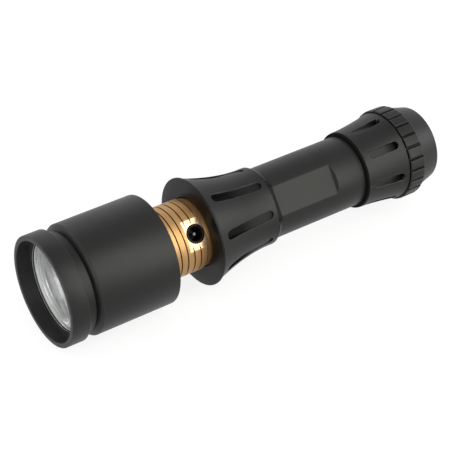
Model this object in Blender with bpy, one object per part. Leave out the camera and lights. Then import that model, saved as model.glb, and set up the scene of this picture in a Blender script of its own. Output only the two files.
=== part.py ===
"""A rechargeable tactical flashlight, shown with its head unscrewed from the handle.

The torch lies along X with the bezel at -X and the tail at +X, its lowest point on Z = 0.
Unscrewing the head bares a threaded neck and the charging jack set in it. Stations along
the axis are worked out from the bezel face towards the tail, in metres.
"""

import math

import bmesh
import bpy
from mathutils import Matrix, Vector

# Fits
GAP = 0.0003  # kept between pieces that touch
THREAD_SLACK = 0.00022  # between the flanks and the crests of the head thread

# Head
HEAD_RADIUS = 0.0190
HEAD_LENGTH = 0.0397
BEZEL_BAND = 0.0064
BEZEL_LIP = 0.0017
BEZEL_WALL_TAPER = 0.0007
BEZEL_EDGE = 0.0005
GROOVE_WIDTH = 0.0033
GROOVE_DEPTH = 0.0019
SHOULDER_LENGTH = 0.0017
BEZEL_WALL = 0.0011  # round the lens, under the groove
LENS_THICKNESS = 0.0011
LENS_DEPTH = 0.0058
LEDGE_WIDTH = 0.0003  # how far the lens ledge covers the lens
LEDGE_THICKNESS = 0.0006
SEAL_THICKNESS = 0.0004
SEAL_SHOWS = 0.0001  # how much of it shows inside the ledge
BEZEL_SPIGOT = 0.0041
BEZEL_SPIGOT_WALL = 0.0007
REFLECTOR_DEPTH = 0.0178
REFLECTOR_RIM = 0.0003  # from the dish to the edge of its flange
REFLECTOR_HOLE = 0.0036
REFLECTOR_WALL = 0.0009
REFLECTOR_SKIRT = 0.0068
REFLECTOR_FLANGE = 0.0012
REFLECTOR_BOSS = 0.0010
HEAD_LEDGE = 0.0008  # how far the ledge stands in under the reflector
RING_SECTION = 0.00065  # of the head's rubber ring

# Neck and its thread
NECK_EXPOSED = 0.0166
NECK_RADIUS = 0.0124
NECK_ENGAGED = 0.0040
NECK_SEAT = 0.0060
NECK_WALL = 0.0028
NECK_MOUTH_WALL = 0.0020
SHANK_STEP = 0.0005  # from the thread down to the seat in the handle
NECK_RELIEF = 0.0011
THREAD_PITCH = 0.0025
THREAD_DEPTH = 0.00055
THREAD_GROOVE = 0.0010
THREAD_RUN_OUT = 0.75  # turns of groove before the nose and into the relief
WEB_THICKNESS = 0.0018
JACK_RADIUS = 0.0030
JACK_BORE = 0.0025
JACK_PIN_RADIUS = 0.00065
JACK_LENGTH = 0.0090
JACK_SOCKET = 0.0062
JACK_FROM_COLLAR = 0.0045
JACK_FLAT_DEPTH = 0.0011
JACK_FLAT_WIDTH = 0.0078
JACK_ANGLE = 53.0

# Handle
COLLAR_RADIUS = 0.0189
COLLAR_LENGTH = 0.0283
COLLAR_RIM = 0.0008
COLLAR_STEP_HEIGHT = 0.0012
FLARE_DROP = 0.0004  # from the rim to the start of the flare
FLARE_LENGTH = 0.0229
FLARE_POWER = 1.75
COLLAR_STEP = 0.0024
TUBE_WALL = 0.0020
SLOT_COUNT = 8
COLLAR_SLOT_WIDTH = 0.0030
COLLAR_SLOT_FROM = 0.0034
COLLAR_SLOT_LENGTH = 0.0206
COLLAR_SLOT_FRONT_DEPTH = 0.0021
COLLAR_SLOT_REAR_DEPTH = 0.0005
COLLAR_SLOT_ANGLE = 22.5
PANEL_DEPTH = 0.0011
PANEL_LENGTH = 0.0252
PANEL_RAMP = 0.0010  # where the panel runs out at its rear
PANEL_ANGLE = 54.5

# Battery
CELL_RADIUS = 0.0092
CELL_LENGTH = 0.0650
CELL_BUTTON = 0.0009
CELL_BUTTON_RADIUS = 0.0028
SLEEVE_WALL = 0.0008
CONTACT_ROOM = 0.0016  # from the neck to the cell's front button

# Tail
SPIGOT_LENGTH = 0.0109
SPIGOT_WALL = 0.0011
TAIL_SEAL_WIDTH = 0.0009
TAIL_WALL = 0.00185
TAIL_LENGTH = 0.0160
TAIL_FLARE = 0.0019
TAIL_FLARE_POWER = 1.5
TAIL_BORE_DEPTH = 0.0104
TAIL_SLOT_WIDTH = 0.0028
TAIL_SLOT_DEPTH = 0.0001  # under the narrow end of the tail
TAIL_SLOT_END = 0.0020  # from the slot's rear end to the tail's rear face
TAIL_SLOT_LENGTH = 0.0120
TAIL_SLOT_ANGLE = 42.5
RING_LENGTH = 0.0061
RING_STEP = 0.0007  # from the tail up to the ribs
RIB_COUNT = 24
RIB_GROOVE = 0.0009
RIB_DEPTH = 0.0008
CAP_LENGTH = 0.0144
CAP_TAPER = 0.00325
CAP_CORNER = 0.0009
CAP_SPIGOT_STEP = 0.0012
CAP_SPIGOT_WALL = 0.0020
CAP_END_WALL = 0.0037
BUTTON_RADIUS = 0.0069
BUTTON_RECESS = 0.0009
BUTTON_FLANGE = 0.0017
BUTTON_FLANGE_THICKNESS = 0.0007
BUTTON_TRAVEL = 0.0015
BOARD_THICKNESS = 0.0010
SWITCH_RADIUS = 0.0060
SWITCH_LENGTH = 0.0057
STEM_RADIUS = 0.0015
STEM_LENGTH = 0.0043
PLUNGER_RADIUS = 0.0032
PLUNGER_THICKNESS = 0.0010
RETAINER_THICKNESS = 0.0020

# Stations along the axis, from the bezel face
SHOULDER = BEZEL_BAND + GROOVE_WIDTH
HEAD_REAR = HEAD_LENGTH
COLLAR_FRONT = HEAD_REAR + NECK_EXPOSED
COLLAR_REAR = COLLAR_FRONT + COLLAR_LENGTH
HEAD_TRAVEL = NECK_EXPOSED - GAP
NECK_FRONT = HEAD_REAR - NECK_ENGAGED
NECK_REAR = COLLAR_FRONT + NECK_SEAT
JACK_STATION = COLLAR_FRONT - JACK_FROM_COLLAR
LENS_REAR = LENS_DEPTH + LENS_THICKNESS
REFLECTOR_FRONT = LENS_REAR + GAP
REFLECTOR_REAR = REFLECTOR_FRONT + REFLECTOR_DEPTH + REFLECTOR_BOSS
LEDGE = REFLECTOR_FRONT + REFLECTOR_SKIRT + GAP
LED_BOARD_FRONT = REFLECTOR_REAR + HEAD_TRAVEL + 2 * GAP
WEB_FRONT = LED_BOARD_FRONT + BOARD_THICKNESS + GAP
WEB_REAR = WEB_FRONT + WEB_THICKNESS
CELL_FRONT = NECK_REAR + CONTACT_ROOM + CELL_BUTTON
CELL_REAR = CELL_FRONT + CELL_LENGTH
SPIGOT_REAR = CELL_REAR + GAP
TUBE_REAR = SPIGOT_REAR - SPIGOT_LENGTH
TAIL_FRONT = TUBE_REAR + GAP + TAIL_SEAL_WIDTH + GAP
TAIL_REAR = TAIL_FRONT + TAIL_LENGTH
TAIL_STEP = TAIL_FRONT + TAIL_BORE_DEPTH
CAP_FRONT = TAIL_REAR + GAP
RING_REAR = CAP_FRONT + RING_LENGTH
CAP_REAR = CAP_FRONT + CAP_LENGTH
CAVITY_REAR = CAP_REAR - CAP_END_WALL
FLANGE_FRONT = CAVITY_REAR - GAP - BUTTON_FLANGE_THICKNESS
PLUNGER_FRONT = FLANGE_FRONT - GAP - PLUNGER_THICKNESS
SWITCH_REAR = PLUNGER_FRONT - BUTTON_TRAVEL - GAP
SWITCH_FRONT = SWITCH_REAR - SWITCH_LENGTH
SWITCH_BOARD_FRONT = SWITCH_FRONT - GAP - BOARD_THICKNESS
RETAINER_REAR = SWITCH_BOARD_FRONT - GAP
TOTAL_LENGTH = CAP_REAR

# Radii that follow from the fits
TUBE_BORE = CELL_RADIUS + GAP + SLEEVE_WALL + GAP
TUBE_RADIUS = TUBE_BORE + TUBE_WALL
COLLAR_WAIST = TUBE_RADIUS + COLLAR_STEP_HEIGHT
SPIGOT_RADIUS = TUBE_BORE + SPIGOT_WALL
TAIL_RADIUS = SPIGOT_RADIUS + GAP + TAIL_WALL
TAIL_SLOT_FLOOR = TAIL_RADIUS - TAIL_SLOT_DEPTH
CAP_SPIGOT_RADIUS = SPIGOT_RADIUS + CAP_SPIGOT_STEP
CAP_CAVITY = CAP_SPIGOT_RADIUS - CAP_SPIGOT_WALL
RING_RADIUS = TAIL_RADIUS + TAIL_FLARE + RING_STEP
CAP_END_RADIUS = RING_RADIUS - CAP_TAPER
NECK_SHANK = NECK_RADIUS - SHANK_STEP
JACK_FLAT = NECK_RADIUS - JACK_FLAT_DEPTH
NECK_BORE = NECK_RADIUS - NECK_WALL
NECK_MOUTH = NECK_RADIUS - NECK_MOUTH_WALL
GROOVE_RADIUS = HEAD_RADIUS - GROOVE_DEPTH
BEZEL_MOUTH = HEAD_RADIUS - BEZEL_LIP
BEZEL_BORE = GROOVE_RADIUS - BEZEL_WALL
LENS_RADIUS = BEZEL_BORE - GAP
REFLECTOR_MOUTH = LENS_RADIUS - REFLECTOR_RIM
HEAD_CAVITY = LENS_RADIUS - HEAD_LEDGE
BEZEL_SPIGOT_RADIUS = BEZEL_BORE + BEZEL_SPIGOT_WALL
BEZEL_SPIGOT_REAR = SHOULDER + BEZEL_SPIGOT
LEDGE_RADIUS = LENS_RADIUS - LEDGE_WIDTH
RING_BORE = NECK_RADIUS + GAP
GLAND_RADIUS = RING_BORE + 2 * RING_SECTION + GAP

SEGMENTS = 36
SMALL_SEGMENTS = 18
AXIS_HEIGHT = max(HEAD_RADIUS, COLLAR_RADIUS)

MATERIALS = {
    "anodised_grey": ((0.045, 0.044, 0.045), 0.36, 0.85),
    "anodised_gold": ((0.83, 0.55, 0.20), 0.26, 1.0),
    "mirror_silver": ((0.90, 0.90, 0.88), 0.08, 1.0),
    "clear_glass": ((0.93, 0.96, 0.96), 0.04, 0.0),
    "black_rubber": ((0.018, 0.018, 0.019), 0.70, 0.0),
    "black_plastic": ((0.022, 0.021, 0.026), 0.35, 0.0),
    "white_plastic": ((0.78, 0.78, 0.75), 0.45, 0.0),
    "bright_steel": ((0.68, 0.68, 0.67), 0.22, 1.0),
    "brass": ((0.72, 0.52, 0.22), 0.30, 1.0),
    "green_board": ((0.02, 0.16, 0.07), 0.45, 0.0),
    "led_yellow": ((0.85, 0.72, 0.20), 0.35, 0.0),
    "cell_blue": ((0.05, 0.16, 0.42), 0.40, 0.0),
}


def clear_scene():
    """Remove every object, so that only the torch is left."""
    for item in list(bpy.data.objects):
        bpy.data.objects.remove(item, do_unlink=True)


def material(name):
    """A Principled material from the table above, made once."""
    if name in bpy.data.materials:
        return bpy.data.materials[name]
    colour, roughness, metallic = MATERIALS[name]
    made = bpy.data.materials.new(name)
    made.use_nodes = True
    shader = made.node_tree.nodes["Principled BSDF"]
    shader.inputs["Base Color"].default_value = (*colour, 1.0)
    shader.inputs["Roughness"].default_value = roughness
    shader.inputs["Metallic"].default_value = metallic
    return made


def frame(name, parent=None):
    """An empty on the torch's axis, which the pieces of one moving body hang from."""
    empty = bpy.data.objects.new(name, None)
    empty.empty_display_size = HEAD_RADIUS
    bpy.context.scene.collection.objects.link(empty)
    if parent is None:
        empty.location = (-TOTAL_LENGTH / 2, 0.0, AXIS_HEIGHT)
    else:
        empty.parent = parent
    return empty


def piece(name, mesh_builder, finish, parent):
    """One object from a bmesh, with outward faces and smooth round sides."""
    bmesh.ops.recalc_face_normals(mesh_builder, faces=mesh_builder.faces)
    mesh = bpy.data.meshes.new(name)
    mesh_builder.to_mesh(mesh)
    mesh_builder.free()
    mesh.shade_smooth()
    mesh.set_sharp_from_angle(angle=math.radians(30))
    made = bpy.data.objects.new(name, mesh)
    bpy.context.scene.collection.objects.link(made)
    made.parent = parent
    if finish:
        mesh.materials.append(material(finish))
    return made


def cutter(name, mesh_builder, parent):
    """A hidden solid that a Boolean cuts with."""
    made = piece(name, mesh_builder, None, parent)
    made.hide_render = True
    made.display_type = "WIRE"
    return made


def boolean(target, other, operation):
    """Cut another solid from the target, or join it to it."""
    step = target.modifiers.new(f"{operation.lower()}_{other.name}", "BOOLEAN")
    step.operation = operation
    step.object = other


def turned(outline, segments=SEGMENTS):
    """Spin a closed outline of (station, radius) points round the X axis."""
    shape = bmesh.new()
    corners = [shape.verts.new((station, 0.0, radius)) for station, radius in outline]
    edges = [shape.edges.new((a, b)) for a, b in zip(corners, corners[1:] + corners[:1])]
    bmesh.ops.spin(
        shape,
        geom=corners + edges,
        cent=(0, 0, 0),
        axis=(1, 0, 0),
        angle=2 * math.pi,
        steps=segments,
    )
    bmesh.ops.remove_doubles(shape, verts=shape.verts, dist=1e-7)
    loose = [edge for edge in shape.edges if not edge.link_faces]
    bmesh.ops.delete(shape, geom=loose, context="EDGES")
    return shape


def tube(front, rear, inner, outer, segments=SEGMENTS):
    """A plain ring or sleeve."""
    return turned([(front, inner), (front, outer), (rear, outer), (rear, inner)], segments)


def disc(front, rear, radius, segments=SEGMENTS):
    """A plain disc or rod."""
    return turned([(front, 0), (front, radius), (rear, radius), (rear, 0)], segments)


def rubber_ring(station, centre_radius, section, segments=SEGMENTS, sides=6):
    """A round-section ring round the axis."""
    angles = [2 * math.pi * i / sides for i in range(sides)]
    outline = [
        (station + section * math.cos(a), centre_radius + section * math.sin(a))
        for a in angles
    ]
    return turned(outline, segments)


def swept(rings):
    """A closed solid through rings of points, capped at both ends."""
    shape = bmesh.new()
    loops = [[shape.verts.new(point) for point in ring] for ring in rings]
    for this, after in zip(loops, loops[1:]):
        for i in range(len(this)):
            j = (i + 1) % len(this)
            shape.faces.new((this[i], this[j], after[j], after[i]))
    shape.faces.new(loops[0])
    shape.faces.new(reversed(loops[-1]))
    return shape


def thread(front, turns, foot_width, top_width, foot_radius, top_radius, steps=18):
    """A trapezoid swept along the head thread's helix, which passes the jack's angle at the collar."""
    rings = []
    count = round(turns * steps)
    for i in range(count + 1):
        angle = 2 * math.pi * i / steps
        middle = front + THREAD_PITCH * i / steps
        angle += 2 * math.pi * (front - COLLAR_FRONT) / THREAD_PITCH
        out = Vector((0, -math.sin(angle), math.cos(angle)))
        section = (
            (-foot_width / 2, foot_radius),
            (foot_width / 2, foot_radius),
            (top_width / 2, top_radius),
            (-top_width / 2, top_radius),
        )
        rings.append([Vector((middle + along, 0, 0)) + radius * out for along, radius in section])
    return swept(rings)


def coil(name, front, rear, radius, wire, turns, parent):
    """A compression spring with its wire on a helix between two stations."""
    curve = bpy.data.curves.new(name, "CURVE")
    curve.dimensions = "3D"
    curve.bevel_depth = wire
    curve.bevel_resolution = 1
    curve.use_fill_caps = True
    count = round(turns * 12)
    line = curve.splines.new("POLY")
    line.points.add(count)
    for i in range(count + 1):
        angle = 2 * math.pi * turns * i / count
        station = front + wire + (rear - front - 2 * wire) * i / count
        line.points[i].co = (station, radius * math.cos(angle), radius * math.sin(angle), 1)
    curve.materials.append(material("bright_steel"))
    made = bpy.data.objects.new(name, curve)
    bpy.context.scene.collection.objects.link(made)
    made.parent = parent
    return made


def around(angle):
    """Turn about the axis by degrees from the top towards -Y."""
    return Matrix.Rotation(math.radians(angle), 4, "X")


def slot_cutter(front, rear, width, front_floor, rear_floor, top, angle):
    """A round-ended slot along the axis, whose floor runs straight between two heights."""
    half = width / 2
    ends = []
    for i in range(9):
        turn = math.pi * i / 8
        ends.append((front + half - half * math.sin(turn), half * math.cos(turn)))
    for i in range(9):
        turn = math.pi * i / 8
        ends.append((rear - half + half * math.sin(turn), -half * math.cos(turn)))
    slope = (rear_floor - front_floor) / (rear - front)
    floor = [Vector((x, y, front_floor + slope * (x - front))) for x, y in ends]
    roof = [Vector((x, y, top)) for x, y in ends]
    shape = swept([floor, roof])
    bmesh.ops.transform(shape, matrix=around(angle), verts=shape.verts)
    return shape


def block(low, high, angle):
    """A box between two corners, turned about the axis."""
    shape = bmesh.new()
    bmesh.ops.create_cube(shape, size=1)
    size = Vector(high) - Vector(low)
    middle = (Vector(high) + Vector(low)) / 2
    place = around(angle) @ Matrix.Translation(middle) @ Matrix.Diagonal((*size, 1))
    bmesh.ops.transform(shape, matrix=place, verts=shape.verts)
    return shape


def ramped_block(low, high, ramp, rise, angle):
    """A block whose far end leans outward, by the ramp's length over the rise."""
    shape = bmesh.new()
    bmesh.ops.create_cube(shape, size=1)
    size = Vector(high) - Vector(low)
    middle = (Vector(high) + Vector(low)) / 2
    place = Matrix.Translation(middle) @ Matrix.Diagonal((*size, 1))
    bmesh.ops.transform(shape, matrix=place, verts=shape.verts)
    for corner in shape.verts:
        if corner.co.x > middle.x:
            corner.co.x += ramp * (corner.co.z - low[2]) / rise
    bmesh.ops.transform(shape, matrix=around(angle), verts=shape.verts)
    return shape


def radial_rod(station, angle, low, high, radius, segments=SMALL_SEGMENTS):
    """A rod standing out from the axis, between two heights."""
    shape = bmesh.new()
    bmesh.ops.create_cone(
        shape, cap_ends=True, segments=segments, radius1=radius, radius2=radius, depth=high - low
    )
    place = around(angle) @ Matrix.Translation((station, 0, (low + high) / 2))
    bmesh.ops.transform(shape, matrix=place, verts=shape.verts)
    return shape


def flare_radius(station):
    """The collar's concave flare: its radius falls from the rim to the waist."""
    start = COLLAR_FRONT + COLLAR_RIM
    left = max(0.0, 1 - (station - start) / FLARE_LENGTH)
    return COLLAR_WAIST + (COLLAR_RADIUS - FLARE_DROP - COLLAR_WAIST) * left**FLARE_POWER


def tail_radius(station):
    """The tail's flare: its radius grows towards the rear."""
    share = (station - TAIL_FRONT) / TAIL_LENGTH
    return TAIL_RADIUS + TAIL_FLARE * max(0.0, share) ** TAIL_FLARE_POWER


def dish_radius(depth):
    """The reflector's parabola, from its mouth to its apex."""
    return REFLECTOR_MOUTH * math.sqrt(max(0.0, 1 - depth / REFLECTOR_DEPTH))


def make_bezel_ring(head):
    """The front ring: a band, the groove behind it and a spigot that clamps the lens."""
    ledge_front = LENS_DEPTH - GAP - SEAL_THICKNESS - GAP - LEDGE_THICKNESS
    outline = [
        (0, BEZEL_MOUTH),
        (0, HEAD_RADIUS - BEZEL_EDGE),
        (BEZEL_EDGE, HEAD_RADIUS),
        (BEZEL_BAND, HEAD_RADIUS),
        (BEZEL_BAND, GROOVE_RADIUS),
        (SHOULDER - GAP, GROOVE_RADIUS),
        (SHOULDER - GAP, BEZEL_SPIGOT_RADIUS),
        (BEZEL_SPIGOT_REAR, BEZEL_SPIGOT_RADIUS),
        (BEZEL_SPIGOT_REAR, BEZEL_BORE),
        (ledge_front + LEDGE_THICKNESS, BEZEL_BORE),
        (ledge_front + LEDGE_THICKNESS, LEDGE_RADIUS),
        (ledge_front, LEDGE_RADIUS),
        (ledge_front, BEZEL_MOUTH - BEZEL_WALL_TAPER),
    ]
    piece("bezel_ring", turned(outline), "anodised_grey", head)


def make_lens_and_seal(head):
    """The flat glass and the rubber seal in front of it."""
    rear = LENS_DEPTH - GAP
    inner = LEDGE_RADIUS - SEAL_SHOWS
    seal = tube(rear - SEAL_THICKNESS, rear, inner, LENS_RADIUS)
    piece("lens_seal", seal, "black_rubber", head)
    piece("lens", disc(LENS_DEPTH, LENS_REAR, LENS_RADIUS), "clear_glass", head)


def make_reflector(head):
    """A parabolic dish with a skirt that stands on the head's ledge."""
    steps = 7
    deepest = REFLECTOR_DEPTH * (1 - (REFLECTOR_HOLE / REFLECTOR_MOUTH) ** 2)
    depths = [deepest * i / steps for i in range(steps + 1)]
    inside = [(REFLECTOR_FRONT + depth, dish_radius(depth)) for depth in depths]
    outside = [
        (station, radius + REFLECTOR_WALL)
        for station, radius in inside
        if station > LEDGE
    ]
    skirt_rear = LEDGE - GAP
    skirt = LENS_RADIUS - GAP
    under = dish_radius(skirt_rear - REFLECTOR_FRONT) + REFLECTOR_WALL
    outline = inside[::-1] + [
        (REFLECTOR_FRONT, LENS_RADIUS),
        (REFLECTOR_FRONT + REFLECTOR_FLANGE, LENS_RADIUS),
        (REFLECTOR_FRONT + REFLECTOR_FLANGE, skirt),
        (skirt_rear, skirt),
        (skirt_rear, under),
    ]
    outline += outside
    outline += [
        (REFLECTOR_REAR, REFLECTOR_HOLE + REFLECTOR_WALL),
        (REFLECTOR_REAR, REFLECTOR_HOLE),
    ]
    piece("reflector", turned(outline), "mirror_silver", head)


def make_head_shell(head):
    """The barrel, with the bezel's socket in front and the neck's thread at the rear."""
    socket = BEZEL_SPIGOT_RADIUS + GAP
    bore = NECK_RADIUS + THREAD_SLACK
    gland_rear = NECK_FRONT - 2 * RING_SECTION
    gland_front = gland_rear - 2 * RING_SECTION - 2 * GAP
    lip = socket + GAP
    outline = [
        (SHOULDER, socket),
        (SHOULDER, lip),
        (SHOULDER + 0.75 * SHOULDER_LENGTH, lip + 0.85 * (HEAD_RADIUS - lip)),
        (SHOULDER + SHOULDER_LENGTH, HEAD_RADIUS),
        (HEAD_REAR - GAP, HEAD_RADIUS),
        (HEAD_REAR, HEAD_RADIUS - GAP),
        (HEAD_REAR, bore + THREAD_DEPTH),
        (HEAD_REAR - THREAD_DEPTH, bore),
        (gland_rear, bore),
        (gland_rear, GLAND_RADIUS),
        (gland_front, GLAND_RADIUS),
        (gland_front, bore),
        (gland_front - RING_SECTION, bore),
        (gland_front - RING_SECTION, HEAD_CAVITY),
        (LEDGE, HEAD_CAVITY),
        (LEDGE, socket),
    ]
    shell = piece("head_shell", turned(outline), "anodised_grey", head)
    width = THREAD_GROOVE - 2 * THREAD_SLACK
    turns = (HEAD_REAR - gland_rear) / THREAD_PITCH - 1
    start = gland_rear + THREAD_PITCH / 2
    low = NECK_RADIUS - THREAD_DEPTH + THREAD_SLACK
    ridge = thread(start, turns, width, width, bore + THREAD_SLACK, low)
    boolean(shell, cutter("head_thread", ridge, head), "UNION")
    return (gland_front + gland_rear) / 2


def make_neck(handle):
    """The gold neck: a threaded tube with a flat for the jack and a web for the lamp."""
    root = NECK_RADIUS - THREAD_DEPTH
    relief_front = COLLAR_FRONT - 2 * NECK_RELIEF
    relief_rear = COLLAR_FRONT - NECK_RELIEF / 2
    outline = [
        (NECK_FRONT, NECK_MOUTH),
        (NECK_FRONT, root),
        (NECK_FRONT + THREAD_DEPTH, NECK_RADIUS),
        (relief_front, NECK_RADIUS),
        (relief_front, root),
        (relief_rear, root),
        (relief_rear, NECK_SHANK),
        (NECK_REAR, NECK_SHANK),
        (NECK_REAR, NECK_BORE),
        (WEB_REAR, NECK_BORE),
        (WEB_REAR, 2 * JACK_PIN_RADIUS),
        (WEB_FRONT, 2 * JACK_PIN_RADIUS),
        (WEB_FRONT, NECK_MOUTH),
    ]
    neck = piece("neck", turned(outline), "anodised_gold", handle)
    turns = (relief_front - NECK_FRONT) / THREAD_PITCH + THREAD_RUN_OUT
    start = NECK_FRONT - THREAD_PITCH / 2
    top = NECK_RADIUS + THREAD_DEPTH
    groove = thread(start, turns, THREAD_GROOVE, THREAD_GROOVE, root, top)
    boolean(neck, cutter("neck_thread", groove, handle), "DIFFERENCE")
    half = JACK_FLAT_WIDTH / 2
    low = (JACK_STATION - half, -NECK_RADIUS, JACK_FLAT)
    high = (JACK_STATION + half, NECK_RADIUS, 2 * NECK_RADIUS)
    boolean(neck, cutter("jack_flat", block(low, high, JACK_ANGLE), handle), "DIFFERENCE")
    hole = radial_rod(JACK_STATION, JACK_ANGLE, NECK_BORE / 2, 2 * NECK_RADIUS, JACK_RADIUS + GAP)
    boolean(neck, cutter("jack_hole", hole, handle), "DIFFERENCE")


def make_head_ring(station, slider):
    """The rubber ring in the head's gland, which seals on the neck when the head is closed."""
    ring = rubber_ring(station, RING_BORE + RING_SECTION, RING_SECTION)
    piece("head_oring", ring, "black_rubber", slider)


def make_lamp(handle):
    """The lamp's board, its emitter and the two screws that hold it to the web."""
    rear = LED_BOARD_FRONT + BOARD_THICKNESS
    board_radius = NECK_MOUTH - GAP
    screw_reach = board_radius - 0.0024
    board = piece(
        "led_board", disc(LED_BOARD_FRONT, rear, board_radius), "white_plastic", handle
    )
    dome = 0.00175
    base = 0.0007
    emitter = [
        (LED_BOARD_FRONT - GAP, 0),
        (LED_BOARD_FRONT - GAP, dome + GAP),
        (LED_BOARD_FRONT - GAP - base, dome + GAP),
        (LED_BOARD_FRONT - GAP - base, dome),
    ]
    for i in range(1, 4):
        turn = math.pi / 2 * i / 4
        emitter.append(
            (LED_BOARD_FRONT - GAP - base - dome * math.sin(turn), dome * math.cos(turn))
        )
    emitter.append((LED_BOARD_FRONT - GAP - base - dome, 0))
    piece("led_emitter", turned(emitter, SMALL_SEGMENTS), "led_yellow", handle)
    for number, side in enumerate((-1, 1), start=1):
        shank = 0.0009
        hole = disc(LED_BOARD_FRONT - GAP, rear + GAP, shank + GAP, 12)
        bmesh.ops.translate(hole, verts=hole.verts, vec=(0, side * screw_reach, 0))
        boolean(board, cutter(f"screw_hole_{number}", hole, handle), "DIFFERENCE")
        screw = turned(
            [
                (LED_BOARD_FRONT - GAP - base, 0),
                (LED_BOARD_FRONT - GAP - base, 2 * shank),
                (LED_BOARD_FRONT - GAP, 2 * shank),
                (LED_BOARD_FRONT - GAP, shank),
                (rear, shank),
                (rear, 0),
            ],
            12,
        )
        bmesh.ops.translate(screw, verts=screw.verts, vec=(0, side * screw_reach, 0))
        piece(f"led_screw_{number}", screw, "bright_steel", handle)


def make_electronics(handle):
    """The driver board, the jack, its board and the carrier of the front contact."""
    board_radius = NECK_BORE - GAP
    front = WEB_REAR + GAP
    driver = disc(front, front + BOARD_THICKNESS, board_radius)
    piece("driver_board", driver, "green_board", handle)
    top = JACK_FLAT
    low = top - JACK_LENGTH
    jack = radial_rod(JACK_STATION, JACK_ANGLE, low, top, JACK_RADIUS)
    body = piece("charge_jack", jack, "black_plastic", handle)
    socket = radial_rod(JACK_STATION, JACK_ANGLE, top - JACK_SOCKET, top + JACK_RADIUS, JACK_BORE)
    boolean(body, cutter("jack_socket", socket, handle), "DIFFERENCE")
    foot = top - JACK_SOCKET + GAP
    pin = radial_rod(JACK_STATION, JACK_ANGLE, foot, top - 0.0006, JACK_PIN_RADIUS, 12)
    piece("charge_pin", pin, "bright_steel", handle)
    front = JACK_STATION + JACK_RADIUS + GAP
    rear = front + BOARD_THICKNESS
    piece("charge_board", disc(front, rear, board_radius), "green_board", handle)
    spring_radius = CELL_BUTTON_RADIUS - GAP
    wire = 0.0003
    opening = spring_radius + wire + 2 * GAP
    carrier = tube(rear + 2 * GAP, NECK_REAR - GAP, opening, board_radius)
    piece("contact_carrier", carrier, "white_plastic", handle)
    spring_rear = CELL_FRONT - CELL_BUTTON - GAP
    coil("front_spring", rear + GAP, spring_rear, spring_radius, wire, 3.5, handle)


def make_body_tube(handle):
    """The handle: the flared collar, the tube and the threaded spigot for the tail."""
    seat = NECK_SHANK + GAP
    flare = []
    flare_start = COLLAR_FRONT + COLLAR_RIM
    steps = 8
    for i in range(steps + 1):
        station = flare_start + FLARE_LENGTH * i / steps
        flare.append((station, flare_radius(station)))
    outline = [
        (COLLAR_FRONT, seat),
        (COLLAR_FRONT, COLLAR_RADIUS - GAP),
        (COLLAR_FRONT + GAP, COLLAR_RADIUS),
        (flare_start, COLLAR_RADIUS),
    ]
    outline += flare
    outline += [
        (COLLAR_REAR - COLLAR_STEP, COLLAR_WAIST),
        (COLLAR_REAR, TUBE_RADIUS),
        (TUBE_REAR, TUBE_RADIUS),
        (TUBE_REAR, SPIGOT_RADIUS),
        (SPIGOT_REAR, SPIGOT_RADIUS),
        (SPIGOT_REAR, TUBE_BORE),
        (NECK_REAR + GAP, TUBE_BORE),
        (NECK_REAR + GAP, seat),
    ]
    body = piece("body_tube", turned(outline), "anodised_grey", handle)
    slot_front = COLLAR_FRONT + COLLAR_SLOT_FROM
    slot_rear = slot_front + COLLAR_SLOT_LENGTH
    front_floor = flare_radius(slot_front) - COLLAR_SLOT_FRONT_DEPTH
    rear_floor = flare_radius(slot_rear) - COLLAR_SLOT_REAR_DEPTH
    for i in range(SLOT_COUNT):
        slot = slot_cutter(
            slot_front,
            slot_rear,
            COLLAR_SLOT_WIDTH,
            front_floor,
            rear_floor,
            2 * COLLAR_RADIUS,
            COLLAR_SLOT_ANGLE + 360 * i / SLOT_COUNT,
        )
        boolean(body, cutter(f"collar_slot_{i + 1}", slot, handle), "DIFFERENCE")
    floor = TUBE_RADIUS - PANEL_DEPTH
    low = (COLLAR_REAR - COLLAR_STEP, -TUBE_RADIUS, floor)
    high = (low[0] + PANEL_LENGTH, TUBE_RADIUS, 2 * TUBE_RADIUS)
    cut = ramped_block(low, high, PANEL_RAMP, PANEL_DEPTH, PANEL_ANGLE)
    boolean(body, cutter("panel", cut, handle), "DIFFERENCE")


def make_battery(handle):
    """The cell and the sleeve that centres it in the tube."""
    outline = [
        (CELL_FRONT - CELL_BUTTON, 0),
        (CELL_FRONT - CELL_BUTTON, CELL_BUTTON_RADIUS),
        (CELL_FRONT, CELL_BUTTON_RADIUS),
        (CELL_FRONT, CELL_RADIUS - GAP),
        (CELL_FRONT + GAP, CELL_RADIUS),
        (CELL_REAR, CELL_RADIUS),
        (CELL_REAR, 0),
    ]
    piece("battery_cell", turned(outline, 32), "cell_blue", handle)
    inner = CELL_RADIUS + GAP
    margin = 2 * SLEEVE_WALL
    sleeve = tube(CELL_FRONT + margin, CELL_REAR - margin, inner, TUBE_BORE - GAP, 32)
    piece("battery_sleeve", sleeve, "white_plastic", handle)


def make_tail_seal(handle):
    """The black ring pinched between the tube and the tail."""
    front = TUBE_REAR + GAP
    seal = tube(front, front + TAIL_SEAL_WIDTH, SPIGOT_RADIUS + GAP, TAIL_RADIUS)
    piece("tail_seal", seal, "black_rubber", handle)


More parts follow.
